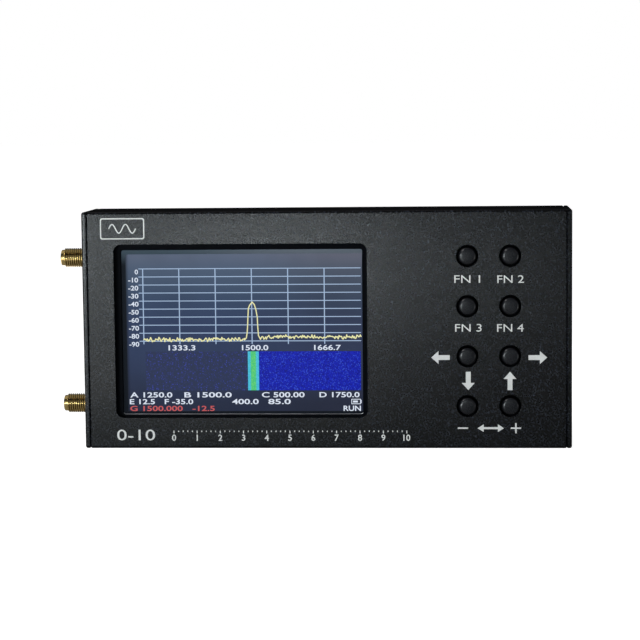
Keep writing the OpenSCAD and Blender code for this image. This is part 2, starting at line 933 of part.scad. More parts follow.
module battery_plug() {
    color([0.9, 0.89, 0.85])
        block([plug_x, plug_x + plug_len], [plug_y - plug_t / 2, plug_y + plug_t / 2],
            [mid_z - plug_w / 2, mid_z + plug_w / 2]);
}

module battery_socket() {
    half = plug_w / 2 + plug_gap;
    color([0.88, 0.87, 0.82])
        difference() {
            block([plug_socket_x, plug_socket_end_x], [radio_back_y, radio_back_y + plug_socket_t],
                [mid_z - half - plug_socket_wall, mid_z + half + plug_socket_wall]);
            block([plug_socket_x - cut, plug_x + plug_len + plug_gap],
                [plug_y - plug_t / 2 - plug_gap, plug_y + plug_t / 2 + plug_gap],
                [mid_z - half, mid_z + half]);
        }
}

module usb_oval(inset) {
    translate([usb_y, usb_z])
        rounded_rect(usb_t - 2 * inset, usb_w - 2 * inset, usb_r - inset);
}

module usb_shell() {
    color([0.78, 0.78, 0.8])
        difference() {
            along_x(usb_mouth_x - usb_len, usb_mouth_x)
                usb_oval(0);
            along_x(usb_mouth_x - usb_len - cut, usb_mouth_x + cut)
                usb_oval(usb_sheet);
        }
}

// The base that closes the back of the charging socket, with its tongue
module usb_tongue() {
    base_x = usb_mouth_x - usb_len;
    color([0.1, 0.1, 0.1]) {
        along_x(base_x, base_x + usb_base_len)
            usb_oval(usb_sheet + jack_fit);
        block([base_x + usb_base_len / 2, usb_mouth_x - usb_tip],
            [usb_y - usb_tongue_t / 2, usb_y + usb_tongue_t / 2],
            [usb_z - usb_tongue_w / 2, usb_z + usb_tongue_w / 2]);
    }
}

// A switch body on the radio board with a slot that guides the lever
module power_switch_body() {
    color([0.55, 0.56, 0.58])
        difference() {
            block([power_front_x - power_depth, power_front_x], [radio_back_y, radio_back_y + power_t],
                [power_z - power_len / 2, power_z + power_len / 2]);
            block([lever_back_x - lever_gap, power_front_x + cut],
                [power_y - lever_t / 2 - lever_gap, power_y + lever_t / 2 + lever_gap],
                [lever_z - lever_travel - lever_len / 2 - lever_gap, lever_z + lever_len / 2 + lever_gap]);
        }
}

module power_switch_lever() {
    color([0.1, 0.1, 0.11])
        block([lever_back_x, side_x + lever_proud], [power_y - lever_t / 2, power_y + lever_t / 2],
            [lever_z - lever_len / 2, lever_z + lever_len / 2]);
}

module status_emitter() {
    color([0.9, 0.9, 0.6])
        block([status_x - emitter_w, status_x], [radio_back_y, radio_back_y + emitter_t],
            [status_z - emitter_w / 2, status_z + emitter_w / 2]);
}

module status_light_pipe() {
    color([0.85, 0.9, 0.9])
        rod_x([status_x, side_x], status_y, status_z, status_d / 2);
}

// A body of revolution round a jack's axis, from points of radius and distance outwards
module jack_turned(j, x) {
    translate([x, jack_y, jack_z(j)])
        rotate([0, -90, 0])
            rotate_extrude()
                children();
}

// The thread as a row of crests with true round lands
module thread_outline() {
    flank = (thread_pitch - thread_crest) / 2;
    turns = [0 : thread_turns - 1];
    crest = [for (i = turns, step = [0, flank, flank + thread_crest])
        [step == 0 ? thread_root_r : thread_r, i * thread_pitch + step]];
    top = thread_turns * thread_pitch;
    polygon(concat([[0, 0]], crest, [[thread_root_r, top], [0, top]]));
}

module jack_shell(j) {
    z = jack_z(j);
    leg_z = flange_w / 2 - leg_t;
    bore_r = insulator_d / 2 + jack_fit;
    color([0.83, 0.66, 0.25])
        difference() {
            union() {
                block([-plate_in_x, jack_seat_x], [jack_y - flange_w / 2, jack_y + flange_w / 2],
                    [z - flange_w / 2, z + flange_w / 2]);
                rod_x([thread_x, -plate_in_x], jack_y, z, neck_d / 2);
                jack_turned(j, thread_x)
                    thread_outline();
                rod_x([nose_x, thread_end_x], jack_y, z, nose_d / 2);
                for (side = [-1, 1], y = [radio_y - leg_t, radio_back_y])
                    translate([jack_seat_x, y, z + side * (leg_z + leg_t / 2) - leg_t / 2])
                        cube([leg_len, leg_t, leg_t]);
            }
            rod_x([nose_x - cut, insulator_x], jack_y, z, mouth_d / 2);
            rod_x([nose_x - cut, jack_seat_x + cut], jack_y, z, bore_r);
        }
}

module jack_insulator(j) {
    color([0.95, 0.95, 0.93])
        difference() {
            rod_x([insulator_x, jack_seat_x], jack_y, jack_z(j), insulator_d / 2);
            rod_x([insulator_x - cut, jack_seat_x + cut], jack_y, jack_z(j), contact_d / 2 + jack_fit);
        }
}

module jack_contact(j) {
    color([0.85, 0.68, 0.28])
        difference() {
            union() {
                rod_x([insulator_x, jack_seat_x], jack_y, jack_z(j), contact_d / 2);
                rod_x([jack_seat_x, jack_seat_x + pin_len], jack_y, jack_z(j), pin_d / 2);
            }
            rod_x([insulator_x - cut, insulator_x + contact_bore_len], jack_y, jack_z(j), contact_bore_d / 2);
        }
}

front_shell();
rear_shell();
left_end_plate();
right_end_plate();
left_plate_screws();
right_plate_screws();
screen_gasket();
lcd_bezel();
lcd_cell();
lcd_backlight();
lcd_tray();
lcd_ribbon();
ribbon_connector();
front_board();
key_switches();
for (k = key_indices) {
    key(k);
    key_plunger(k);
}
board_standoffs();
board_screws();
board_header();
board_socket();
radio_board();
shield_fence();
shield_lid();
radio_chips();
processor();
clock_crystal();
power_parts();
battery_cell();
battery_pad();
battery_lead_red();
battery_lead_black();
battery_plug();
battery_socket();
usb_shell();
usb_tongue();
power_switch_body();
power_switch_lever();
status_emitter();
status_light_pipe();
for (j = jack_indices) {
    jack_shell(j);
    jack_insulator(j);
    jack_contact(j);
}
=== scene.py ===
"""Looks of a handheld spectrum analyzer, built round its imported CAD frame.

Metres. X runs to the right, Y to the back, Z up. The origin is the centre of the case's bottom face.
"""

import json
import math
import random

import bmesh
import bpy
from mathutils import Matrix, Vector


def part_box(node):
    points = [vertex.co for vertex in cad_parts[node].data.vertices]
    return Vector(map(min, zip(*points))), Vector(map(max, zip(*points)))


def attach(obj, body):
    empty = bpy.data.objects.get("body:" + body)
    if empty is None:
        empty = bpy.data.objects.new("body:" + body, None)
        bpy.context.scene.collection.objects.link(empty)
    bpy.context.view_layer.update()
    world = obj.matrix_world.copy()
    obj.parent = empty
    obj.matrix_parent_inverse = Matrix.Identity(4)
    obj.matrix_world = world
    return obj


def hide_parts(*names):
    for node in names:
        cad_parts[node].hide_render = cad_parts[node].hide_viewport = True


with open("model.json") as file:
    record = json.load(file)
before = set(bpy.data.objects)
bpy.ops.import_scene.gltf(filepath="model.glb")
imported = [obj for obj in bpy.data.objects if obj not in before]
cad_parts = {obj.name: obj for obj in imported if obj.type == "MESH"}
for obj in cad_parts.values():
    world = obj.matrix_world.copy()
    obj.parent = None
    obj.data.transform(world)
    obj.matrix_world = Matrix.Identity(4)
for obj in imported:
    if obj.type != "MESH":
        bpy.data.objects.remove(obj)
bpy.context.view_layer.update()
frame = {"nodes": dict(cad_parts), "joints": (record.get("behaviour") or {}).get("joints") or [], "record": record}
MM = 0.001
TURN = 2 * math.pi
X, Y, Z = 0, 1, 2

# Places read from the frame
front_low, front_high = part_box("front_shell")
board_low, board_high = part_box("front_board")
FRONT_Y = front_low.y
SEAM_Y = front_high.y
BACK_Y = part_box("rear_shell")[1].y
END_X = front_high.x
TOP_Z = front_high.z
SIDE_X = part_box("right_end_plate")[1].x
PANEL_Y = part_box("screen_gasket")[0].y
REAR_WALL_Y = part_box("battery_pad")[1].y
KEYS = ("function_key_1", "function_key_2", "function_key_3", "function_key_4",
        "left_key", "right_key", "minus_key", "plus_key")
JACKS = ("upper_jack", "lower_jack")

# Sizes of the case
WALL = 2 * MM
EDGE_R = 0.8 * MM
LAP = 1.5 * MM
LAP_GAP = 0.05 * MM
RIB_H = 2 * MM
RIB_T = 1 * MM
RIB_GAP = 0.05 * MM
CHANNEL = 6.65 * MM
PLATE_RIM_R = 0.7 * MM
GROOVE = 0.33 * MM
BROKEN_EDGE = 0.15 * MM
CORNER_STEPS = 8
EDGE_STEPS = 3
ROUND_STEPS = 64
BORE_STEPS = 32

# Sizes of the screws in the end plates
SCREW_INSET = 4.3 * MM
SCREW_R = 1.45 * MM
SCREW_HEAD_R = 2.75 * MM
SCREW_HEAD_H = 1.2 * MM
SCREW_LEN = 9 * MM
SCREW_GAP = 0.05 * MM
SOCKET_SIDES = 6
SOCKET_FLATS = 2 * MM
SOCKET_DEPTH = 0.9 * MM

# Sizes of the window, the display and the keys
WINDOW_INSET = 2.1 * MM
WINDOW_R = 2.5 * MM
OPENING_INSET = 1.4 * MM
OPENING_LEFT = 0.5 * MM
OPENING_RISE = 0.25 * MM
WINDOW_RISE = 0.2 * MM
OPENING_R = 0.7 * MM
LIP_R = 0.3 * MM
KEY_R = 3.1 * MM
KEY_TOP_R = 2.8 * MM
KEY_HOLE_R = 3.55 * MM
KEY_CROWN_R = 50 * MM
KEY_EDGE_R = 0.95 * MM
KEY_CROWN_TILT = 3
KEY_RIM_DOWN = 0.06 * MM
KEY_SKIRT_DOWN = 0.6 * MM
KEY_FLANGE_T = 0.8 * MM

# Limits used when shapes are measured, joined, cut and smoothed
MERGE_GAP = 0.001 * MM
NEAR_PLANE = 0.005 * MM
NEAR_EDGE = 0.01 * MM
ALONG = 0.99
FLAT_ANGLE = math.radians(1)
SMOOTH_ANGLE = math.radians(32)
SHARP_ANGLE = math.radians(50)


class Value:
    """A shader socket that takes part in Python expressions."""

    def __init__(self, look, socket):
        self.look = look
        self.socket = socket

    def join(self, operation, first, second):
        return self.look.node("Math", {"operation": operation}, {0: first, 1: second})

    def __add__(self, other):
        return self.join("ADD", self, other)

    def __sub__(self, other):
        return self.join("SUBTRACT", self, other)

    def __mul__(self, other):
        return self.join("MULTIPLY", self, other)

    def __truediv__(self, other):
        return self.join("DIVIDE", self, other)

    def __gt__(self, other):
        return self.join("GREATER_THAN", self, other)

    def __lt__(self, other):
        return self.join("LESS_THAN", self, other)

    def __radd__(self, other):
        return self.join("ADD", other, self)

    def __rsub__(self, other):
        return self.join("SUBTRACT", other, self)

    def __rmul__(self, other):
        return self.join("MULTIPLY", other, self)

    def __rtruediv__(self, other):
        return self.join("DIVIDE", other, self)


class Look:
    """A shader tree under construction."""

    def __init__(self, owner):
        owner.use_nodes = True
        self.owner = owner
        self.tree = owner.node_tree

    def node(self, kind, settings=None, inputs=None, output=0):
        """Add a node, set it up, feed its inputs and return one of its outputs."""
        made = self.tree.nodes.new("ShaderNode" + kind)
        for name, setting in (settings or {}).items():
            if name == "stops":
                self.set_stops(made.color_ramp, setting)
            else:
                setattr(made, name, setting)
        for name, value in (inputs or {}).items():
            self.feed(made.inputs[name], value)
        return Value(self, made.outputs[output])

    def set_stops(self, ramp, stops):
        while len(ramp.elements) < len(stops):
            ramp.elements.new(1.0)
        for element, (place, colour) in zip(ramp.elements, stops):
            element.position = place
            element.color = (*colour, 1.0)

    def feed(self, socket, value):
        """Link a Value to a socket, or set the socket to a plain number or colour."""
        if isinstance(value, Value):
            self.tree.links.new(value.socket, socket)
        elif socket.type == "RGBA":
            socket.default_value = (*value, 1.0)
        else:
            socket.default_value = value

    def surface(self, **inputs):
        """Feed the sockets of the Principled shader, named with underscores."""
        shader = self.tree.nodes["Principled BSDF"]
        for name, value in inputs.items():
            self.feed(shader.inputs[name.replace("_", " ")], value)

    def place(self, scale=(1, 1, 1)):
        """Object coordinates, stretched along each axis."""
        coordinates = self.node("TexCoord", output="Object")
        return self.node("Mapping", inputs={"Vector": coordinates, "Scale": scale})

    def along(self, axis):
        """One Object coordinate as a number."""
        coordinates = self.node("TexCoord", output="Object")
        return self.node("SeparateXYZ", inputs={0: coordinates}, output=axis)

    def noise(self, scale, detail=3.0, stretch=(1, 1, 1)):
        return self.node("TexNoise", inputs={"Vector": self.place(stretch), "Scale": scale, "Detail": detail})

    def ramp(self, factor, *stops):
        return self.node("ValToRGB", {"stops": stops}, {"Fac": factor})

    def shades(self, factor, colour, *stops):
        """A ramp through darker and lighter shades of one colour."""
        return self.ramp(factor, *[(place, shade(colour, amount)) for place, amount in stops])

    def range(self, value, low, high, to_low=0.0, to_high=1.0):
        """A number eased from one range to another, held at both ends."""
        return self.node("MapRange", {"interpolation_type": "SMOOTHSTEP"},
                         {"Value": value, "From Min": low, "From Max": high,
                          "To Min": to_low, "To Max": to_high})

    def mix(self, factor, first, second):
        return self.node("Mix", {"data_type": "RGBA"}, {0: factor, 6: first, 7: second}, output=2)

    def bump(self, height, strength, distance):
        return self.node("Bump", inputs={"Strength": strength, "Distance": distance, "Height": height},
                         output="Normal")


def new_look(name):
    return Look(bpy.data.materials.new(name))


def shade(colour, factor):
    return tuple(channel * factor for channel in colour)


def node_centre(name):
    low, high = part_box(name)
    return (low + high) / 2


# Finish of the case and the screen: a low gloss, so that pale surroundings stay faint in them
CASE_GLOSS = 0.176
CASE_TONE = (0.0018, 0.0021, 0.0029)
CASE_ROUGHNESS = 0.22
SPECK_STOPS = ((0.42, 0.2), (0.54, 1.2), (0.65, 6), (0.8, 15))
SCREEN_GLOSS = 0.022
SCREEN_ROUGHNESS = 0.27
SCREEN_SATIN = 4000
SCREEN_BLACK = (0.009, 0.011, 0.015)
BEZEL_TONE = (0.002, 0.0024, 0.0036)
KEY_TONE = (0.0075, 0.008, 0.01)

# Finish of the metals, and the painted shade that darkens the gilding in the jacks' thread roots and on their
# necks, by distance from a jack's axis
METAL_GRAIN = 2600
TARNISH_GRAIN = 420
ROOT_SHADE_REACH = 4 * MM
ROOT_SHADE_STOPS = ((0.665, 1), (0.69, 0.3), (0.735, 0.6), (0.785, 1))


def uneven(value, pattern, swing):
    """A number that a pattern moves up and down by half a swing."""
    return value - swing / 2 + pattern * swing


def blasted_black(name, colour, roughness):
    """Bead-blasted aluminium under a black dye, with a fine satin grain."""
    look = new_look(name)
    grain = look.noise(1500, 4.0)
    specks = look.noise(1900, 2.0)
    tone = look.shades(specks, colour, *SPECK_STOPS)
    look.surface(Base_Color=tone, Roughness=uneven(roughness, grain, 0.1), Specular_IOR_Level=CASE_GLOSS,
                 Normal=look.bump(grain, 1.0, 0.02 * MM))
    return look.owner


def moulded(name, colour, roughness=0.45, grain=2200, gloss=0.3, depth=0.01 * MM):
    """Moulded plastic or rubber with a fine spark-eroded texture."""
    look = new_look(name)
    texture = look.noise(grain, 3.0)
    cloud = look.noise(180, 2.0)
    tone = look.shades(cloud, colour, (0.25, 0.82), (0.75, 1.16))
    look.surface(Base_Color=tone, Roughness=uneven(roughness, texture, 0.12), Specular_IOR_Level=gloss,
                 Normal=look.bump(texture, 0.3, depth))
    return look.owner


def metal_surface(look, tone, roughness, stretch=(1, 1, 1), grain=METAL_GRAIN):
    """A metal of a given tone, with tool marks drawn out along one axis."""
    marks = look.noise(grain, 3.0, stretch)
    look.surface(Base_Color=tone, Metallic=1.0, Roughness=uneven(roughness, marks, 0.12),
                 Normal=look.bump(marks, 0.15, 0.004 * MM))
    return look.owner


def metal(name, colour, roughness, *marks):
    """Bare or plated metal with a faint tarnish."""
    look = new_look(name)
    tarnish = look.noise(TARNISH_GRAIN, 3.0)
    tone = look.shades(tarnish, colour, (0.3, 0.78), (0.7, 1.08))
    return metal_surface(look, tone, roughness, *marks)


def gilt_with_root_shade(name, colour, roughness):
    """Gold plating with painted shade in the roots of the jacks' threads and on their necks."""
    look = new_look(name)
    height = look.along("Z")
    aside = [look.node("Math", {"operation": "ABSOLUTE"}, {0: height - node_centre(jack + "_insulator").z})
             for jack in JACKS]
    nearer = aside[0].join("MINIMUM", *aside)
    deep = look.along("Y")
    away = look.node("Math", {"operation": "SQRT"}, {0: nearer * nearer + deep * deep})
    # Painted shade: the gilding darkens in the thread roots and on the neck, by distance from the jack's axis
    tone = look.shades(away / ROOT_SHADE_REACH, colour, *ROOT_SHADE_STOPS)
    tarnish = look.range(look.noise(TARNISH_GRAIN, 3.0), 0.3, 0.7, 0.0, 0.2)
    return metal_surface(look, look.mix(tarnish, tone, shade(colour, 0.3)), roughness, (0.15, 1, 1))


def lacquered_board(name, colour):
    """Solder resist over straight copper tracks."""
    look = new_look(name)
    tracks = look.node("TexBrick", {"offset": 0.37},
                       {"Vector": look.place(), "Scale": 260.0, "Mortar Size": 0.06}, output="Fac")
    weave = look.noise(900, 2.0)
    tone = look.mix(tracks, shade(colour, 0.75), shade(colour, 1.5))
    look.surface(Base_Color=tone, Roughness=0.3 + weave * 0.1, Normal=look.bump(tracks, 0.3, 0.02 * MM))
    return look.owner


def striped(name, colour, line, pitch):
    """A flat flexible ribbon with conductors side by side."""
    look = new_look(name)
    wave = look.node("TexWave", {"wave_type": "BANDS", "bands_direction": "Z"},
                     {"Vector": look.place(), "Scale": 1 / pitch, "Distortion": 0.0})
    look.surface(Base_Color=look.mix(wave, colour, line), Roughness=0.35 + wave * 0.15)
    return look.owner


def glazed(name, colour, roughness=0.15):
    """Clear moulded plastic with faint flow marks."""
    look = new_look(name)
    flow = look.noise(600, 2.0)
    look.surface(Base_Color=look.mix(flow, colour, shade(colour, 0.85)), Transmission_Weight=0.9,
                 Roughness=roughness + flow * 0.05, IOR=1.49)
    return look.owner


def ink(name, colour):
    """Screen-printed ink, slightly uneven over the blasted ground."""
    look = new_look(name)
    speck = look.noise(2600, 2.0)
    look.surface(Base_Color=look.mix(speck, shade(colour, 0.82), colour), Roughness=0.55 + speck * 0.1,
                 Specular_IOR_Level=0.2)
    return look.owner


def glow(name, colour, strength=1.0):
    """Lit picture dots, a little brighter and dimmer from dot to dot."""
    look = new_look(name)
    dots = look.noise(5000, 1.0)
    look.surface(Base_Color=(0.0, 0.0, 0.0), Roughness=0.5, Specular_IOR_Level=0.0,
                 Emission_Color=look.mix(dots, shade(colour, 0.8), shade(colour, 1.1)),
                 Emission_Strength=strength)
    return look.owner


# Extent of the lit picture and of what it shows
PICTURE_X = (-66.0 * MM, 11.8 * MM)
PICTURE_Z = (12.0 * MM, 63.95 * MM)
GRID_X = (-60.35 * MM, 11.35 * MM)
GRID_Z = (35.26 * MM, 59.17 * MM)
GRID_COLUMNS = 6
GRID_ROWS = 9
GRID_LINE = 0.28 * MM
GRID_UPRIGHT = 0.34 * MM
GRID_TICK = 1.45 * MM
GRID_TAIL = 1.0 * MM
FALL_X = (-59.9 * MM, 11.2 * MM)
FALL_Z = (18.9 * MM, 31.8 * MM)
BAND_X = (-26.02 * MM, -22.37 * MM)
DOT = 0.27 * MM
# Colours of the picture's ground from bottom to top; its paler top is a painted reflection
GROUND_AND_GLARE_STOPS = ((0.05, (0.013, 0.018, 0.043)), (0.26, (0.021, 0.033, 0.082)), (0.58, (0.024, 0.04, 0.096)),
                (0.7, (0.03, 0.052, 0.106)), (0.8, (0.046, 0.073, 0.127)), (0.9, (0.063, 0.093, 0.15)),
                (0.99, (0.095, 0.12, 0.18)))
RIGHT_TINT = (1.1, 0.92, 0.82)
QUIET_STOPS = ((0.72, (0.019, 0.027, 0.07)), (0.94, (0.024, 0.032, 0.15)), (1.0, (0.04, 0.06, 0.42)))
BUSY_STOPS = ((0.05, (0.0, 0.001, 0.2)), (0.5, (0.001, 0.005, 0.38)), (0.86, (0.003, 0.014, 0.46)),
              (1.0, (0.035, 0.085, 0.6)))


def screen_glass(name):
    """The cell's dark margin behind a satin polariser, with a painted grey reflection along its top that pales to
    the right, and black at its left edge, partly the cell's black mask and partly painted shadow of the window's
    wall.
    """
    look = new_look(name)
    satin = look.noise(SCREEN_SATIN, 1.0)
    across = look.along("X")
    # Painted reflection: the top of the margin turns a paler grey, paler still to the right
    painted_glare = look.mix(look.range(across, -56 * MM, -7 * MM), (0.05, 0.072, 0.092), (0.116, 0.136, 0.164))
    tone = look.mix(look.range(look.along("Z"), 60 * MM, 65 * MM), (0.0088, 0.0112, 0.016), painted_glare)
    # Painted shade: towards its left edge the margin darkens to the bezel's black, partly the cell's black mask
    # and partly shadow of the window's wall
    edge = look.range(across, PICTURE_X[0] - 2.6 * MM, PICTURE_X[0] - 0.6 * MM)
    look.surface(Base_Color=look.mix(edge * (0.85 + satin * 0.3), BEZEL_TONE, tone),
                 Roughness=SCREEN_ROUGHNESS + satin * 0.06, Specular_IOR_Level=0.008)
    return look.owner


def picture_ground(name):
    """The picture's dark blue ground, paler towards the top with a painted reflection."""
    look = new_look(name)
    height = (look.along("Z") - PICTURE_Z[0]) / (PICTURE_Z[1] - PICTURE_Z[0])
    right = look.range(look.along("X"), -35 * MM, PICTURE_X[1])
    warm_stops = [(stop, tuple(map(math.prod, zip(colour, RIGHT_TINT)))) for stop, colour in GROUND_AND_GLARE_STOPS]
    ground = look.mix(right, look.ramp(height, *GROUND_AND_GLARE_STOPS), look.ramp(height, *warm_stops))
    left_edge = look.range(look.along("X"), PICTURE_X[0] - 0.6 * MM, PICTURE_X[0] + 1.2 * MM)
    cloud = look.noise(55, 2.0)
    lit = look.mix(left_edge * (0.7 + cloud * 0.5), (0.0, 0.0, 0.0), ground)
    satin = look.noise(SCREEN_SATIN, 1.0)
    look.surface(Base_Color=SCREEN_BLACK, Roughness=SCREEN_ROUGHNESS + satin * 0.06,
                 Specular_IOR_Level=SCREEN_GLOSS, Emission_Color=lit, Emission_Strength=1.0)
    return look.owner


def waterfall(name):
    """The history strip: one steady band, quiet to its left and busy to its right, in square dots."""
    look = new_look(name)
    coordinates = look.node("TexCoord", output="Object")
    dots = look.node("VectorMath", {"operation": "SNAP"}, {0: coordinates, 1: (DOT, 1.0, DOT)})
    chance = look.node("TexWhiteNoise", {"noise_dimensions": "3D"}, {"Vector": dots}, output="Value")
    across = look.along("X")
    middle = (BAND_X[0] + BAND_X[1]) / 2
    sides = look.mix(across > middle, look.ramp(chance, *QUIET_STOPS), look.ramp(chance, *BUSY_STOPS))
    half = (BAND_X[1] - BAND_X[0]) / 2
    reach = look.node("Math", {"operation": "ABSOLUTE"}, {0: across - middle}) / half
    green = look.mix(chance, (0.035, 0.5, 0.2), (0.14, 0.62, 0.15))
    cyan = look.mix(chance, (0.035, 0.44, 0.6), (0.085, 0.54, 0.73))
    steady = look.mix(look.range(reach + (chance - 0.5) * 0.1, 0.4, 0.56), green, cyan)
    look.surface(Base_Color=SCREEN_BLACK, Roughness=SCREEN_ROUGHNESS,
                 Specular_IOR_Level=SCREEN_GLOSS, Emission_Color=look.mix(reach < 1.0, sides, steady),
                 Emission_Strength=1.0)
    return look.owner


CASE_BLACK = blasted_black("case_black", CASE_TONE, CASE_ROUGHNESS)
PLATE_BLACK = blasted_black("plate_black", shade(CASE_TONE, 1.1), CASE_ROUGHNESS)
KEY_BLACK = moulded("key_black", KEY_TONE, 0.27, 2600, 0.115)
KEY_RIM = moulded("key_rim", KEY_TONE, 0.25, 2600, 0.29)
# Painted shade: a darker, duller copy of the key finish for the caps' side walls and flanges
KEY_SKIRT_SHADE = moulded("key_skirt_shade", (0.0015, 0.0015, 0.002), 0.7, 2600, 0.015)
SCREW_BLACK = metal("screw_black", (0.06, 0.06, 0.066), 0.3)
JACK_GOLD = gilt_with_root_shade("jack_gold", (0.72, 0.53, 0.21), 0.16)
INSULATOR_WHITE = moulded("insulator_white", (0.75, 0.75, 0.72), 0.5)
BEZEL_BLACK = moulded("bezel_black", BEZEL_TONE, 0.5, 1800, 0.012)
# Bare metal for the bezel lip, used only where the light catches it: a painted highlight
LIP_HIGHLIGHT_METAL = metal("lip_highlight_metal", (0.46, 0.46, 0.49), 0.4)
USB_STEEL = metal("usb_steel", (0.62, 0.62, 0.63), 0.28, (0.1, 1, 1))
TONGUE_BLACK = moulded("tongue_black", (0.02, 0.02, 0.022), 0.5)
LEVER_BLACK = moulded("lever_black", (0.06, 0.06, 0.064), 0.45)
PIPE_CLEAR = glazed("light_pipe_clear", (0.9, 0.93, 0.93))
PRINT_GREY = ink("print_grey", (0.68, 0.675, 0.66))
SCREEN_GLASS = screen_glass("screen_glass")

# Finishes of the pieces inside: how each is made, the material slot that it is named after, its settings
INSIDE_ROWS = (
    (moulded, "gasket_foam", (0.012, 0.012, 0.012), 0.9, 1500, 0.1, 0.05 * MM),
    (moulded, "backlight_white", (0.82, 0.82, 0.8), 0.5),
    (moulded, "tray_black", (0.015, 0.015, 0.016), 0.55),
    (striped, "ribbon_amber", (0.5, 0.24, 0.04), (0.62, 0.36, 0.1), 0.5 * MM),
    (moulded, "connector_ivory", (0.74, 0.71, 0.6), 0.45),
    (lacquered_board, "board_green", (0.012, 0.11, 0.045)),
    (moulded, "switch_black", (0.014, 0.014, 0.015), 0.5),
    (metal, "standoff_brass", (0.72, 0.52, 0.22), 0.3),
    (metal, "screw_steel", (0.55, 0.55, 0.56), 0.3),
    (moulded, "header_black", (0.016, 0.016, 0.018), 0.5),
    (lacquered_board, "board_blue", (0.012, 0.05, 0.17)),
    (metal, "shield_tin", (0.66, 0.66, 0.66), 0.38),
    (moulded, "chip_black", (0.013, 0.013, 0.014), 0.6),
    (metal, "crystal_can", (0.68, 0.68, 0.69), 0.25),
    (moulded, "choke_grey", (0.08, 0.08, 0.085), 0.7),
    (metal, "cell_foil", (0.7, 0.71, 0.73), 0.32, (1, 1, 1), 700),
    (moulded, "pad_tape", (0.8, 0.77, 0.66), 0.8, 1200),
    (moulded, "lead_red", (0.55, 0.02, 0.015), 0.4),
    (moulded, "lead_black", (0.012, 0.012, 0.012), 0.4),
    (moulded, "switch_grey", (0.3, 0.31, 0.32), 0.5),
    (glow, "emitter_yellow", (0.9, 0.75, 0.2), 0.4),
    (moulded, "plunger_red", (0.5, 0.02, 0.015), 0.45),
)
INSIDE = {slot: make(slot, *settings) for make, slot, *settings in INSIDE_ROWS}
INSIDE["screen_glass"] = SCREEN_GLASS


def dress_inside():
    """Give the CAD nodes that stay their finish."""
    for entry in frame["record"]["subparts"]:
        finish = INSIDE.get(entry["material_slot"])
        if finish:
            mesh = frame["nodes"][entry["node"]].data
            mesh.materials.clear()
            mesh.materials.append(finish)


def block(bm, low, high):
    """Add a box between two corners and return its vertices."""
    made = bmesh.ops.create_cube(bm, size=1.0)["verts"]
    low, high = Vector(low), Vector(high)
    bmesh.ops.scale(bm, vec=high - low, verts=made)
    bmesh.ops.translate(bm, vec=(low + high) / 2, verts=made)
    return made


def edges_of(verts):
    """The edges at these vertices, each once and in a fixed order."""
    return list(dict.fromkeys(edge for vert in verts for edge in vert.link_edges))


def edges_along(verts, axis):
    """The edges at these vertices that run along one axis."""
    def runs_along(edge):
        return abs((edge.verts[0].co - edge.verts[1].co).normalized()[axis]) > ALONG
    return list(filter(runs_along, edges_of(verts)))


def round_edges(bm, edges, radius, steps):
    bmesh.ops.bevel(bm, geom=edges, offset=radius, segments=steps, profile=0.5, affect="EDGES", material=-1)


def rounded_bar(low, high, axis, radius, steps=CORNER_STEPS):
    """A box whose four edges along one axis are round."""
    bm = bmesh.new()
    round_edges(bm, edges_along(block(bm, low, high), axis), radius, steps)
    return bm


def wire(bm, profile):
    """A line of edges above X, from places along X and radii."""
    verts = [bm.verts.new((x, 0, radius)) for x, radius in profile]
    return verts + [bm.edges.new(pair) for pair in zip(verts, verts[1:])]


def turned(profile, steps=ROUND_STEPS):
    """A closed body of revolution round X, from places along X and radii."""
    bm = bmesh.new()
    bmesh.ops.spin(bm, geom=wire(bm, profile), cent=(0, 0, 0), axis=(1, 0, 0), dvec=(0, 0, 0),
                   angle=TURN, steps=steps, use_merge=True)
    bmesh.ops.remove_doubles(bm, verts=bm.verts, dist=MERGE_GAP)
    bmesh.ops.recalc_face_normals(bm, faces=bm.faces)
    return bm


def arc(x, radius, size, start, end, steps):
    """Points of place and radius along an arc round one point of a turned profile, in degrees."""
    turns = [math.radians(start + (end - start) * step / steps) for step in range(steps + 1)]
    return [(x + size * math.cos(turn), radius + size * math.sin(turn)) for turn in turns]


def moved(bm, matrix):
    bmesh.ops.transform(bm, matrix=matrix, verts=bm.verts)
    return bm


def mesh_from(name, bm):
    """A mesh that takes the place of a bmesh."""
    mesh = bpy.data.meshes.new(name)
    bm.to_mesh(mesh)
    bm.free()
    return mesh


def in_scene(name, data):
    """An object that is linked to the scene."""
    made = bpy.data.objects.new(name, data)
    bpy.context.scene.collection.objects.link(made)
    return made


def joined(*parts):
    """Several bmeshes as one."""
    whole = bmesh.new()
    for part in parts:
        mesh = mesh_from("part", part)
        whole.from_mesh(mesh)
        bpy.data.meshes.remove(mesh)
    return whole


# A slanted direction to sort along, so that hardly any two places of a shape are level
SORT_ALONG = Vector((1, math.sqrt(2), math.sqrt(3)))


def put_in_order(bm):
    """Sort a shape by place, so that each run works through it in the same order."""
    bm.verts.sort(key=lambda vert: vert.co.dot(SORT_ALONG))
    bm.edges.sort(key=lambda edge: (edge.verts[0].co + edge.verts[1].co).dot(SORT_ALONG))
    bm.faces.sort(key=lambda face: face.calc_center_median().dot(SORT_ALONG))
    return bm


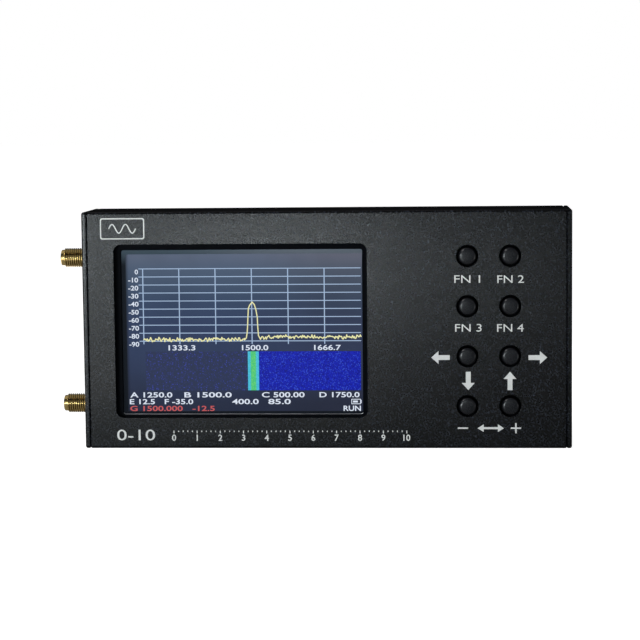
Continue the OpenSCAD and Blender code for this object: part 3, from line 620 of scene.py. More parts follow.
def carved(bm, tool, operation="DIFFERENCE"):
    """One bmesh cut by another, or joined to it."""
    body, cutter = (in_scene("shape", mesh_from("shape", put_in_order(shape))) for shape in (bm, tool))
    boolean = body.modifiers.new("carve", "BOOLEAN")
    boolean.operation = operation
    boolean.solver = "EXACT"
    boolean.object = cutter
    result = bmesh.new()
    result.from_object(body, bpy.context.evaluated_depsgraph_get())
    for made in (body, cutter):
        mesh = made.data
        bpy.data.objects.remove(made)
        bpy.data.meshes.remove(mesh)
    bmesh.ops.remove_doubles(result, verts=result.verts, dist=MERGE_GAP)
    put_in_order(result)
    bmesh.ops.dissolve_limit(result, angle_limit=FLAT_ANGLE, verts=result.verts, edges=result.edges)
    return result


def break_edges(bm, axis, place, width=BROKEN_EDGE, steps=EDGE_STEPS):
    """Bevel the sharp edges that lie in one plane across an axis."""
    def lies_there(edge):
        return all(abs(vert.co[axis] - place) < NEAR_PLANE for vert in edge.verts)
    sharp = [edge for edge in bm.edges if len(edge.link_faces) == 2
             and edge.calc_face_angle(0.0) > SHARP_ANGLE and lies_there(edge)]
    round_edges(bm, sharp, width, steps)
    return bm


def second_finish(made, finish, belongs):
    """Give another finish to the faces that a test picks."""
    made.data.materials.append(finish)
    for face in made.data.polygons:
        if belongs(face):
            face.material_index = len(made.data.materials) - 1


def piece(name, bm, finish, body="case", replaces=()):
    """Turn a bmesh into a piece that rides on a body and wears the given finish."""
    mesh = mesh_from(name, bm)
    mesh.shade_smooth()
    mesh.set_sharp_from_angle(angle=SMOOTH_ANGLE)
    mesh.materials.append(finish)
    made = in_scene(name, mesh)
    flat_faces = made.modifiers.new("flat_faces", "WEIGHTED_NORMAL")
    flat_faces.keep_sharp = True
    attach(made, body)
    if replaces:
        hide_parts(*replaces)
    return made


def rod(axis, low, high, centre, radius, steps=ROUND_STEPS):
    """A plain round bar along X or Y, from one place to another."""
    bm = turned([(low, 0), (low, radius), (high, radius), (high, 0)], steps)
    if axis == Y:
        moved(bm, Matrix.Rotation(TURN / 4, 4, "Z"))
    return moved(bm, Matrix.Translation(centre))


def only(kind, items):
    """The vertices or the edges among what an operator made."""
    return [item for item in items if isinstance(item, kind)]


def extruded(outline, reach):
    """A closed bar from the corners of a flat outline, drawn out by a vector."""
    bm = bmesh.new()
    face = bm.faces.new([bm.verts.new(corner) for corner in outline])
    made = bmesh.ops.extrude_face_region(bm, geom=[face])["geom"]
    bmesh.ops.translate(bm, vec=reach, verts=only(bmesh.types.BMVert, made))
    bmesh.ops.recalc_face_normals(bm, faces=bm.faces)
    return bm


def extruded_profile(points):
    """A bar along the case's length from an outline in Y and Z."""
    return extruded([(-END_X, y, z) for y, z in points], (2 * END_X, 0, 0))


def both_halves(lower):
    """An outline's lower half followed by its mirror image about the middle height."""
    return lower + [(y, TOP_Z - z) for y, z in reversed(lower)]


def long_edges(bm, y):
    """The outer long edges at one depth, bottom and top."""
    def lies_there(vert):
        return abs(vert.co.y - y) < NEAR_EDGE and min(vert.co.z, TOP_Z - vert.co.z) < NEAR_EDGE
    return [edge for edge in edges_along(bm.verts, X) if all(map(lies_there, edge.verts))]


def screw_bores(y):
    """Cutters for the screw holes at one depth, which run the case's whole length."""
    reach = END_X + WALL
    return [rod(X, -reach, reach, (0, y, z), SCREW_R + SCREW_GAP, BORE_STEPS)
            for z in (SCREW_INSET, TOP_Z - SCREW_INSET)]


def window_box():
    """Corners of the window in the front wall, which the gasket runs round."""
    low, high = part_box("screen_gasket")
    inset = Vector((WINDOW_INSET, 0, WINDOW_INSET))
    return low + inset + Vector((0, 0, WINDOW_RISE)), high - inset


def end_chamfer(side):
    """A ring that chamfers one end of the case, for the shadow line beside its plate."""
    inset = GROOVE + WALL
    core = rounded_bar((-END_X - WALL, FRONT_Y + inset, inset),
                       (-END_X + inset, BACK_Y - inset, TOP_Z - inset), X, EDGE_R)
    for vert in core.verts:
        if vert.co.x > -END_X:
            vert.co.y += math.copysign(inset + WALL, vert.co.y)
            vert.co.z += math.copysign(inset + WALL, vert.co.z - TOP_Z / 2)
    ring = bmesh.new()
    block(ring, (-END_X - WALL / 2, FRONT_Y - WALL, -WALL), (-END_X + WALL / 2, BACK_Y + WALL, TOP_Z + WALL))
    return left_or_right(side, carved(ring, core))


def left_or_right(side, bm):
    """A shape drawn for the left side, turned over for the right side."""
    if side > 0:
        moved(bm, Matrix.Scale(-1, 4, (1, 0, 0)))
        bmesh.ops.reverse_faces(bm, faces=bm.faces)
    return bm


def front_case_half():
    """The front wall with its window and key holes, the screw channels, and the ribs that hold the board."""
    lap_y = SEAM_Y - LAP - LAP_GAP
    rib_y = board_low.y - RIB_GAP
    second_rib_y = board_high.y + RIB_GAP
    channel_y = FRONT_Y + CHANNEL
    rib_z = WALL + RIB_H
    lower = [
        (PANEL_Y, CHANNEL), (channel_y, CHANNEL), (channel_y, rib_z), (rib_y, rib_z), (rib_y, WALL),
        (second_rib_y, WALL), (second_rib_y, rib_z), (second_rib_y + RIB_T, rib_z),
        (second_rib_y + RIB_T, WALL), (lap_y, WALL), (lap_y, WALL / 2), (SEAM_Y, WALL / 2), (SEAM_Y, 0),
        (FRONT_Y, 0),
    ]
    bm = extruded_profile(both_halves(lower))
    round_edges(bm, long_edges(bm, FRONT_Y), EDGE_R, CORNER_STEPS)
    round_edges(bm, long_edges(bm, SEAM_Y), BROKEN_EDGE, EDGE_STEPS)
    low, high = window_box()
    low.y, high.y = FRONT_Y - WALL, PANEL_Y + WALL / 2
    holes = [rod(Y, low.y, high.y, (node_centre(key).x, 0, node_centre(key).z), KEY_HOLE_R) for key in KEYS]
    bm = carved(bm, joined(rounded_bar(low, high, Y, WINDOW_R), *holes, *screw_bores(FRONT_Y + SCREW_INSET)))
    return carved(break_edges(bm, Y, FRONT_Y), joined(end_chamfer(-1), end_chamfer(1)))


def rear_case_half():
    """The back wall with its screw channels, lapped over the front half at the seam."""
    channel_y = BACK_Y - CHANNEL
    lip_z = WALL / 2 + LAP_GAP
    lower = [
        (REAR_WALL_Y, CHANNEL), (channel_y, CHANNEL), (channel_y, WALL), (SEAM_Y - LAP, WALL),
        (SEAM_Y - LAP, lip_z), (SEAM_Y, lip_z), (SEAM_Y, 0), (BACK_Y, 0),
    ]
    bm = extruded_profile(both_halves(lower))
    round_edges(bm, long_edges(bm, BACK_Y), EDGE_R, CORNER_STEPS)
    round_edges(bm, long_edges(bm, SEAM_Y), BROKEN_EDGE, EDGE_STEPS)
    return carved(bm, joined(end_chamfer(-1), end_chamfer(1), *screw_bores(BACK_Y - SCREW_INSET)))


def screw_places():
    """Depths and heights of the four screws of an end plate."""
    return [(y, z) for y in (FRONT_Y + SCREW_INSET, BACK_Y - SCREW_INSET)
            for z in (SCREW_INSET, TOP_Z - SCREW_INSET)]


def plate_blank(side):
    """An end plate with a rounded outer rim, a chamfered inner rim and countersunk holes."""
    bm = bmesh.new()
    slab = block(bm, (-SIDE_X, FRONT_Y, 0), (-END_X, BACK_Y, TOP_Z))
    round_edges(bm, edges_along(slab, X), EDGE_R, CORNER_STEPS)
    break_edges(bm, X, -SIDE_X, PLATE_RIM_R, CORNER_STEPS)
    break_edges(bm, X, -END_X, GROOVE, 1)
    head = SCREW_HEAD_R + SCREW_GAP
    shank = SCREW_R + SCREW_GAP
    slope = (head - shank) / SCREW_HEAD_H
    sink = [(-SIDE_X - WALL, 0), (-SIDE_X - WALL, head + slope * WALL), (-SIDE_X + SCREW_HEAD_H, shank),
            (-END_X + WALL, shank), (-END_X + WALL, 0)]
    holes = [moved(turned(sink), Matrix.Translation((0, y, z))) for y, z in screw_places()]
    return left_or_right(side, carved(bm, joined(*holes)))


# Openings in the end plates
JACK_HOLE_R = 3.25 * MM
USB_GAP = 0.25 * MM
LEVER_GAP = 0.35 * MM
PIPE_GAP = 0.05 * MM


def left_plate():
    """The left plate with its two jack holes."""
    holes = []
    for jack in JACKS:
        centre = node_centre(jack + "_insulator")
        holes.append(rod(X, -SIDE_X - WALL, -END_X + WALL, (0, centre.y, centre.z), JACK_HOLE_R))
    return break_edges(carved(plate_blank(-1), joined(*holes)), X, -SIDE_X, BROKEN_EDGE / 2, 2)


def right_plate():
    """The right plate with its socket, slide and light openings."""
    usb_low, usb_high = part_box("usb_shell")
    grow = Vector((0, USB_GAP, USB_GAP))
    usb = rounded_bar(usb_low - grow, usb_high + grow + Vector((WALL, 0, 0)), X, (usb_high.y - usb_low.y) / 2)
    lever_low, lever_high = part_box("power_switch_lever")
    travel = next(joint["range_m"] for joint in frame["joints"] if joint["name"] == "power_lever_slide")
    slot = bmesh.new()
    block(slot, lever_low + Vector((0, -LEVER_GAP, travel[0] - LEVER_GAP)),
          lever_high + Vector((WALL, LEVER_GAP, travel[1] + LEVER_GAP)))
    pipe = node_centre("status_light_pipe")
    pipe_low, pipe_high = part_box("status_light_pipe")
    bore = rod(X, pipe_low.x, SIDE_X + WALL, (0, pipe.y, pipe.z), (pipe_high.z - pipe_low.z) / 2 + PIPE_GAP)
    return break_edges(carved(plate_blank(1), joined(usb, slot, bore)), X, SIDE_X, BROKEN_EDGE / 2, 2)


def plate_screws(side):
    """Four countersunk screws with hexagon sockets."""
    body = turned([(0, 0), (0, SCREW_HEAD_R - BROKEN_EDGE), (BROKEN_EDGE / 2, SCREW_HEAD_R - BROKEN_EDGE / 2),
                   (SCREW_HEAD_H, SCREW_R), (SCREW_LEN - SCREW_R / 2, SCREW_R), (SCREW_LEN, SCREW_R / 2),
                   (SCREW_LEN, 0)])
    corner_r = SOCKET_FLATS / 2 / math.cos(TURN / (2 * SOCKET_SIDES))
    socket = turned([(-WALL, 0), (-WALL, corner_r), (SOCKET_DEPTH, corner_r),
                     (SOCKET_DEPTH + corner_r / 2, 0)], SOCKET_SIDES)
    body = break_edges(carved(body, socket), X, 0, BROKEN_EDGE / 2, 2)
    copies = []
    for y, z in screw_places():
        copies.append(moved(body.copy(), Matrix.Translation((-SIDE_X, y, z))))
    body.free()
    return left_or_right(side, joined(*copies))


def key_cap(key):
    """A slightly domed round cap with a soft rim and a drafted side, on the flange that stops it."""
    low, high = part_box(key)
    flange_r = (high.x - low.x) / 2
    flange_y = high.y - KEY_FLANGE_T
    reach = KEY_CROWN_R - KEY_EDGE_R
    tilt = math.radians(KEY_CROWN_TILT)
    edge_y = low.y + KEY_CROWN_R - reach * math.cos(tilt)
    edge_r = KEY_TOP_R - KEY_EDGE_R
    crown = arc(low.y + KEY_CROWN_R, edge_r - reach * math.sin(tilt), KEY_CROWN_R, 180,
                180 - KEY_CROWN_TILT, 6)
    edge = arc(edge_y, edge_r, KEY_EDGE_R, 180 - KEY_CROWN_TILT, 90, 8)
    profile = [(low.y, 0), *crown, *edge[1:], (flange_y, KEY_R), (flange_y, flange_r), (high.y, flange_r),
               (high.y, 0)]
    centre = (low + high) / 2
    bm = moved(turned(profile), Matrix.Rotation(TURN / 4, 4, "Z"))
    return moved(bm, Matrix.Translation((centre.x, 0, centre.z)))


# Sizes of a coaxial jack
THREAD_R = 3.175 * MM
THREAD_PITCH = 0.7056 * MM
THREAD_CREST = 0.22 * MM
THREAD_ROOT = 0.1 * MM
THREAD_DEPTH = 0.4 * MM
THREAD_TURNS = 10
THREAD_STEPS = 48
NECK_R = 2.9 * MM
NECK_OUT = 0.7 * MM
NOSE_R = 2.65 * MM
NOSE_LEN = 1.3 * MM
NOSE_CHAMFER = 0.25 * MM
MOUTH_R = 2.3 * MM
MOUTH_DEPTH = 1.9 * MM
BORE_R = 2.07 * MM
LEG_W = 1.1 * MM
LEG_LEN = 4 * MM
LEG_OUT = 2.95 * MM
CONTACT_R = 0.635 * MM
CONTACT_BORE_R = 0.46 * MM
CONTACT_BORE_LEN = 3 * MM
PIN_R = 0.4 * MM


def drawn_out(bm, edges, x, radius):
    """Extend a ring of edges to one place along X and one radius, and return the new ring."""
    made = bmesh.ops.extrude_edge_only(bm, edges=edges)["geom"]
    for vert in only(bmesh.types.BMVert, made):
        across = Vector((0, vert.co.y, vert.co.z)).normalized() * radius
        vert.co = Vector((x, across.y, across.z))
    return only(bmesh.types.BMEdge, made)


def open_ring(bm, x):
    """The edges of an open end at one place along X."""
    return [edge for edge in bm.edges
            if edge.is_boundary and all(abs(vert.co.x - x) < MERGE_GAP for vert in edge.verts)]


def threaded_barrel(tip_x, thread_end_x, thread_x, back_x):
    """A closed barrel with a helical thread between a plain nose and a plain neck."""
    bm = bmesh.new()
    flank = (THREAD_PITCH - THREAD_CREST - THREAD_ROOT) / 2
    steps = ((0, THREAD_R - THREAD_DEPTH), (THREAD_ROOT, THREAD_R - THREAD_DEPTH),
             (THREAD_ROOT + flank, THREAD_R), (THREAD_ROOT + flank + THREAD_CREST, THREAD_R))
    start = thread_end_x - 1.5 * THREAD_PITCH
    profile = [(start + turn * THREAD_PITCH + x, radius)
               for turn in range(THREAD_TURNS + 3) for x, radius in steps]
    bmesh.ops.spin(bm, geom=wire(bm, profile), cent=(0, 0, 0), axis=(1, 0, 0),
                   dvec=(THREAD_PITCH / THREAD_STEPS, 0, 0), angle=TURN, steps=THREAD_STEPS)
    bmesh.ops.remove_doubles(bm, verts=bm.verts, dist=0.002 * MM)
    for place, normal in ((thread_end_x, (-1, 0, 0)), (thread_x, (1, 0, 0))):
        bmesh.ops.bisect_plane(bm, geom=[*bm.verts, *bm.edges, *bm.faces], plane_co=(place, 0, 0),
                               plane_no=normal, clear_outer=True)
    ring = drawn_out(bm, open_ring(bm, thread_end_x), thread_end_x, NOSE_R)
    ring = drawn_out(bm, ring, tip_x + NOSE_CHAMFER, NOSE_R)
    ring = drawn_out(bm, ring, tip_x, NOSE_R - NOSE_CHAMFER)
    bmesh.ops.contextual_create(bm, geom=ring)
    ring = drawn_out(bm, open_ring(bm, thread_x), thread_x, NECK_R)
    ring = drawn_out(bm, ring, back_x, NECK_R)
    bmesh.ops.contextual_create(bm, geom=ring)
    bmesh.ops.recalc_face_normals(bm, faces=bm.faces)
    return bm


def jack_pieces(jack):
    """Shell, insulator and centre contact of one coaxial jack."""
    low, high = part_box(jack + "_shell")
    core_low, core_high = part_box(jack + "_insulator")
    centre = (core_low + core_high) / 2
    at = Matrix.Translation((0, centre.y, centre.z))
    seat_x = core_high.x
    bm = threaded_barrel(low.x, low.x + NOSE_LEN, -SIDE_X - NECK_OUT, seat_x)
    flange = bmesh.new()
    half = high.z - centre.z
    block(flange, (-END_X, -half, -half), (seat_x, half, half))
    bm = carved(bm, flange, "UNION")
    board_front, board_back = (corner.y - centre.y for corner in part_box("radio_board"))
    legs = bmesh.new()
    for y in (board_front - LEG_W, board_back):
        for z in (-LEG_OUT, LEG_OUT):
            block(legs, (seat_x - LEG_W, y, z - LEG_W / 2), (seat_x + LEG_LEN, y + LEG_W, z + LEG_W / 2))
    bm = carved(bm, legs, "UNION")
    mouth_x = low.x + MOUTH_DEPTH
    bore = turned([(low.x - WALL, 0), (low.x - WALL, MOUTH_R + WALL), (low.x + NOSE_CHAMFER / 3, MOUTH_R),
                   (mouth_x, MOUTH_R), (mouth_x, BORE_R), (seat_x + WALL, BORE_R), (seat_x + WALL, 0)])
    piece(jack + "_barrel", moved(carved(bm, bore), at), JACK_GOLD, replaces=[jack + "_shell"])
    core_r = (core_high.z - core_low.z) / 2
    ring = [(core_low.x, CONTACT_R), (core_low.x, core_r - BROKEN_EDGE), (core_low.x + BROKEN_EDGE, core_r),
            (seat_x, core_r), (seat_x, CONTACT_R), (core_low.x, CONTACT_R)]
    piece(jack + "_dielectric", moved(turned(ring), at), INSULATOR_WHITE,
          replaces=[jack + "_insulator"])
    pin_low, pin_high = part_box(jack + "_contact")
    socket = [(pin_low.x + CONTACT_BORE_LEN, 0), (pin_low.x + CONTACT_BORE_LEN, CONTACT_BORE_R),
              (pin_low.x, CONTACT_BORE_R), (pin_low.x, CONTACT_R), (seat_x, CONTACT_R), (seat_x, PIN_R),
              (pin_high.x, PIN_R), (pin_high.x, 0)]
    piece(jack + "_centre", moved(turned(socket, BORE_STEPS), at), JACK_GOLD,
          replaces=[jack + "_contact"])


# Sizes of the charging socket
USB_SHEET = 0.3 * MM
TONGUE_T = 0.7 * MM
TONGUE_W = 6.7 * MM
TONGUE_BASE = 2.2 * MM
PAD_COUNT = 12
PAD_PITCH = 0.5 * MM
PAD_W = 0.28 * MM
PAD_LEN = 2.6 * MM
PAD_T = 0.02 * MM


def usb_pieces():
    """Drawn steel shell, black tongue and gilt contacts of the charging socket."""
    low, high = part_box("usb_shell")
    centre = (low + high) / 2
    radius = (high.y - low.y) / 2 - USB_SHEET
    over = Vector((WALL, 0, 0))
    inset = Vector((0, USB_SHEET, USB_SHEET))
    shell = carved(rounded_bar(low, high, X, radius),
                   rounded_bar(low + inset - over, high - inset + over, X, radius - USB_SHEET))
    piece("usb_shell_drawn", break_edges(shell, X, high.x, USB_SHEET / 4, 2), USB_STEEL,
          replaces=["usb_shell"])
    tongue_low, tongue_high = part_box("usb_tongue")
    base = rounded_bar(tongue_low, Vector((tongue_low.x + TONGUE_BASE, tongue_high.y, tongue_high.z)), X,
                       radius - USB_SHEET)
    blade = bmesh.new()
    verts = block(blade, (tongue_low.x + TONGUE_BASE / 2, centre.y - TONGUE_T / 2, centre.z - TONGUE_W / 2),
                  (tongue_high.x, centre.y + TONGUE_T / 2, centre.z + TONGUE_W / 2))
    round_edges(blade, edges_of(verts), BROKEN_EDGE, EDGE_STEPS)
    piece("usb_tongue_moulded", carved(base, blade, "UNION"), TONGUE_BLACK,
          replaces=["usb_tongue"])
    pads = bmesh.new()
    end_x = tongue_high.x - PAD_PITCH
    for number in range(PAD_COUNT):
        z = centre.z + (number - (PAD_COUNT - 1) / 2) * PAD_PITCH
        for face in (-1, 1):
            y = centre.y + face * TONGUE_T / 2
            block(pads, (end_x - PAD_LEN, y - PAD_T, z - PAD_W / 2), (end_x, y + PAD_T, z + PAD_W / 2))
    piece("usb_contacts", pads, JACK_GOLD)


# Ridges of the power lever
RIDGES = 3
RIDGE_H = 0.15 * MM


def slide_lever():
    """The power lever with grip ridges across its end."""
    low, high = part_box("power_switch_lever")
    bm = bmesh.new()
    body = block(bm, low, high - Vector((RIDGE_H, 0, 0)))
    round_edges(bm, edges_along(body, Y), BROKEN_EDGE / 2, 2)
    pitch = (high.z - low.z) / RIDGES
    ridges = bmesh.new()
    for number in range(RIDGES):
        z = low.z + pitch * (number + 0.5)
        block(ridges, (high.x - 2 * RIDGE_H, low.y + BROKEN_EDGE, z - pitch / 4),
              (high.x, high.y - BROKEN_EDGE, z + pitch / 4))
    return break_edges(carved(bm, ridges, "UNION"), X, high.x, BROKEN_EDGE / 4, 2)


def light_pipe():
    """A round clear rod with a softened face."""
    low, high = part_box("status_light_pipe")
    centre = (low + high) / 2
    radius = (high.z - low.z) / 2
    dome = arc(high.x - BROKEN_EDGE, radius - BROKEN_EDGE, BROKEN_EDGE, 90, 0, 6)
    return moved(turned([(low.x, 0), (low.x, radius), *dome, (high.x, 0)]),
                 Matrix.Translation((0, centre.y, centre.z)))


def opening_box():
    """Corners of the opening in the bezel, which the cell's edges lie behind."""
    low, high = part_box("lcd_cell")
    inset = Vector((OPENING_INSET, 0, OPENING_INSET))
    return low + inset + Vector((OPENING_LEFT, 0, OPENING_RISE)), high - inset


def display_bezel():
    """The stamped frame round the display, with a rolled lip in bare metal along the opening's lower edge only, a
    painted highlight where that edge catches the light; the rest of the lip is black.
    """
    low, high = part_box("lcd_bezel")
    bm = bmesh.new()
    block(bm, low, high)
    open_low, open_high = opening_box()
    open_low.y, open_high.y = low.y - WALL, high.y + WALL
    bm = break_edges(carved(bm, rounded_bar(open_low, open_high, Y, OPENING_R)), Y, low.y, LIP_R, 4)
    made = piece("display_bezel", bm, BEZEL_BLACK, replaces=["lcd_bezel"])

    # Painted highlight: only the lip's faces along the opening's lower edge, which catch the light, are bare metal
    def on_lip(face):
        across = open_low.x < face.center.x < open_high.x
        low_edge = abs(face.center.z - open_low.z) < LIP_R
        return across and low_edge and face.normal.y > -0.98
    second_finish(made, LIP_HIGHLIGHT_METAL, on_lip)


# Layers of the picture, from the cell's face towards the window
LAYER = 0.02 * MM
GROUND_LAYER, FALL_LAYER, ROW_LAYER, UPRIGHT_LAYER, TRACE_LAYER, WORD_LAYER = range(6)
CELL_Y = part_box("lcd_cell")[0].y


def layer_box(bm, x, z, number):
    """A thin plate in one of the picture's layers, counted from the cell's face."""
    return block(bm, (x[0], CELL_Y - LAYER * (number + 1), z[0]), (x[1], CELL_Y - LAYER * number, z[1]))


def rounded_layer(x, z, number):
    """A plate with softened corners in one of the picture's layers."""
    return rounded_bar((x[0], CELL_Y - LAYER * (number + 1), z[0]), (x[1], CELL_Y - LAYER * number, z[1]), Y,
                       BROKEN_EDGE, EDGE_STEPS)


def thick_line(bm, points, width, number):
    """A line of short straight bars between points in X and Z."""
    for (x0, z0), (x1, z1) in zip(points, points[1:]):
        reach = math.hypot(x1 - x0, z1 - z0) / 2 + width / 3
        made = layer_box(bm, (-reach, reach), (-width / 2, width / 2), number)
        turn = Matrix.Rotation(-math.atan2(z1 - z0, x1 - x0), 4, "Y")
        place = Matrix.Translation(((x0 + x1) / 2, 0, (z0 + z1) / 2))
        bmesh.ops.transform(bm, matrix=place @ turn, verts=made)


def ribbon(points, width, thickness):
    """A flat strip of even width along points in X and Z."""
    bm = bmesh.new()
    last = len(points) - 1
    bmesh.ops.create_grid(bm, x_segments=last, y_segments=1, size=0.5)
    for vert in bm.verts:
        number = round((vert.co.x + 0.5) * last)
        ahead, behind = points[min(number + 1, last)], points[max(number - 1, 0)]
        along = Vector((ahead[0] - behind[0], ahead[1] - behind[1])).normalized()
        aside = math.copysign(width / 2, vert.co.y)
        vert.co = (points[number][0] - along.y * aside, 0, points[number][1] + along.x * aside)
    bm.normal_update()
    bmesh.ops.solidify(bm, geom=bm.faces[:], thickness=thickness)
    bmesh.ops.recalc_face_normals(bm, faces=bm.faces)
    return bm


def spread(low, high, count):
    """Evenly spaced numbers, ends included."""
    return [low + (high - low) * number / (count - 1) for number in range(count)]


def picture_grid():
    """Level lines with short ends to the left, and uprights with short ends below."""
    bm = bmesh.new()
    for z in spread(*GRID_Z, GRID_ROWS + 1):
        layer_box(bm, (GRID_X[0] - GRID_TICK, GRID_X[1]), (z - GRID_LINE / 2, z + GRID_LINE / 2), ROW_LAYER)
    for x in spread(*GRID_X, GRID_COLUMNS + 1)[:-1]:
        layer_box(bm, (x - GRID_UPRIGHT / 2, x + GRID_UPRIGHT / 2), (GRID_Z[0] - GRID_TAIL, GRID_Z[1]),
                  UPRIGHT_LAYER)
    return bm


# The trace, with the corners of its peak in millimetres
TRACE_POINTS = 260
TRACE_FLOOR = (35.75 * MM, 36.5 * MM)
TRACE_NOISE = 0.8 * MM
TRACE_WIDTH = 0.35 * MM
PEAK = ((-27.0, 35.6), (-26.4, 36.3), (-26.1, 38.0), (-25.9, 40.7), (-25.8, 43.0), (-25.6, 46.0),
        (-25.2, 47.0), (-24.8, 47.5), (-24.35, 48.1), (-23.6, 47.2), (-23.1, 45.4), (-22.7, 43.0),
        (-22.6, 40.1), (-22.4, 37.1), (-22.0, 36.3))
TRACE_SEED = 11


def noise_floor(start, end, level, chance):
    """A restless stretch of the trace."""
    count = round(TRACE_POINTS * (end - start) / (GRID_X[1] - GRID_X[0]))
    return [(x, level + TRACE_NOISE * (chance.random() + chance.random() - 1))
            for x in spread(start, end, count)]


def picture_trace():
    """The trace: a noise floor, a little higher on the right, with one narrow peak."""
    chance = random.Random(TRACE_SEED)
    peak = [(x * MM, z * MM) for x, z in PEAK]
    points = noise_floor(GRID_X[0], peak[0][0], TRACE_FLOOR[0], chance) + peak
    points += noise_floor(peak[-1][0] + DOT, GRID_X[1], TRACE_FLOOR[1], chance)
    bm = bmesh.new()
    thick_line(bm, points, TRACE_WIDTH, TRACE_LAYER)
    return bm


def lettering(text, height, thickness, bold=0.0):
    """Words as a mesh of real thickness, drawn in X and Z, centred, facing the front."""
    curve = bpy.data.curves.new("words", "FONT")
    curve.body = text
    curve.size = height
    curve.align_x = "CENTER"
    curve.align_y = "CENTER"
    curve.extrude = thickness / 2
    curve.offset = bold
    curve.resolution_u = 4
    holder = in_scene("words", curve)
    graph = bpy.context.evaluated_depsgraph_get()
    mesh = bpy.data.meshes.new_from_object(holder.evaluated_get(graph))
    bm = bmesh.new()
    bm.from_mesh(mesh)
    bpy.data.meshes.remove(mesh)
    bpy.data.objects.remove(holder)
    bpy.data.curves.remove(curve)
    bmesh.ops.remove_doubles(bm, verts=bm.verts, dist=0.0005 * MM)
    return moved(bm, Matrix.Rotation(TURN / 4, 4, "X"))


def extent(bm):
    """Lowest and highest corner of a shape."""
    places = [vert.co for vert in bm.verts]
    return (Vector([min(place[axis] for place in places) for axis in (X, Y, Z)]),
            Vector([max(place[axis] for place in places) for axis in (X, Y, Z)]))


def sized_to(bm, centre, height):
    """Fit a flat shape to a height, in its own proportions, and put its middle at a point."""
    low, high = extent(bm)
    return stretched_to(bm, centre, ((high.x - low.x) * height / (high.z - low.z), height))


def stretched_to(bm, centre, size):
    """Fit a flat shape to a width and a height in X and Z, and put its middle at a point."""
    low, high = extent(bm)
    moved(bm, Matrix.Translation(-(low + high) / 2))
    factor = (size[0] / (high.x - low.x), 1.0, size[1] / (high.z - low.z))
    bmesh.ops.scale(bm, vec=factor, verts=bm.verts)
    return moved(bm, Matrix.Translation(centre))


LETTER_Y = CELL_Y - LAYER * (WORD_LAYER + 0.5)
LETTER_H = 1.75 * MM
LETTER_BOLD = 0.03 * MM


def screen_words(text, x, z, height=LETTER_H):
    """Words on the picture between two places along X."""
    bm = lettering(text, height, LAYER, LETTER_BOLD)
    return stretched_to(bm, ((x[0] + x[1]) / 2 * MM, LETTER_Y, z * MM), ((x[1] - x[0]) * MM, height))


# Words on the picture, in millimetres: the height of each row, then its words and their two ends
AXIS_END = -61.9
AXIS_FIGURE = 1.1
AXIS_DROP = 1.0
AXIS_H = 1.6 * MM
RED_ROW = 12.9
WORD_ROWS = (
    (33.05, (("1333.3", (-52.2, -43.3)), ("1500.0", (-27.9, -19.2)), ("1666.7", (-4.1, 4.7)))),
    (17.42, (("A 1250.0", (-65.2, -51.2)), ("B 1500.0", (-47.2, -31.5)),
             ("C 500.00", (-21.5, -7.4)), ("D 1750.0", (-2.5, 10.7)))),
    (15.17, (("E 12.5   F -35.0", (-65.4, -44.3)), ("400.0", (-31.4, -22.6)), ("85.0", (-19.4, -12.0)))),
    (RED_ROW, (("RUN", (5.4, 11.1)),)),
)
RED_WORDS = ("G 1500.000   -12.5", (-65.3, -37.2))


def picture_words():
    """White figures beside, under and below the graph."""
    words = []
    for number, z in enumerate(spread(*reversed(GRID_Z), GRID_ROWS + 1)):
        text = f"{-10 * number}"
        x = (AXIS_END - AXIS_FIGURE * len(text), AXIS_END)
        words.append(screen_words(text, x, z / MM - AXIS_DROP, AXIS_H))
    for z, row in WORD_ROWS:
        words += [screen_words(text, x, z) for text, x in row]
    return joined(*words)


# The battery sign on the picture
BATTERY_X = (8.1 * MM, 11.0 * MM)
BATTERY_Z = (14.4 * MM, 15.9 * MM)
ICON_LINE = 0.22 * MM


def battery_icon():
    """A small outlined battery with its level bar."""
    bm = bmesh.new()
    (left, right), (low, high) = BATTERY_X, BATTERY_Z
    corners = [(left, low), (right, low), (right, high), (left, high), (left, low)]
    thick_line(bm, corners, ICON_LINE, WORD_LAYER)
    layer_box(bm, (left + 2 * ICON_LINE, right - 4 * ICON_LINE), (low + 2 * ICON_LINE, high - 2 * ICON_LINE),
              WORD_LAYER)
    layer_box(bm, (right + ICON_LINE / 2, right + 1.5 * ICON_LINE), (low + ICON_LINE, high - ICON_LINE),
              WORD_LAYER)
    return bm


def lit_picture():
    """Everything that the display shows, as thin layers on the face of the cell."""
    layers = (
        ("picture_ground", rounded_layer(PICTURE_X, PICTURE_Z, GROUND_LAYER),
         picture_ground("picture_ground")),
        ("picture_waterfall", rounded_layer(FALL_X, FALL_Z, FALL_LAYER), waterfall("picture_waterfall")),
        ("picture_grid", picture_grid(), glow("grid_blue", (0.39, 0.52, 0.72))),
        ("picture_trace", picture_trace(), glow("trace_yellow", (0.88, 0.86, 0.45))),
        ("picture_words", joined(picture_words(), battery_icon()), glow("figures_white", (0.75, 0.82, 0.94))),
        ("picture_red_words", screen_words(*RED_WORDS, RED_ROW), glow("figures_red", (0.56, 0.11, 0.115))),
    )
    for name, shape, finish in layers:
        piece(name, shape, finish)


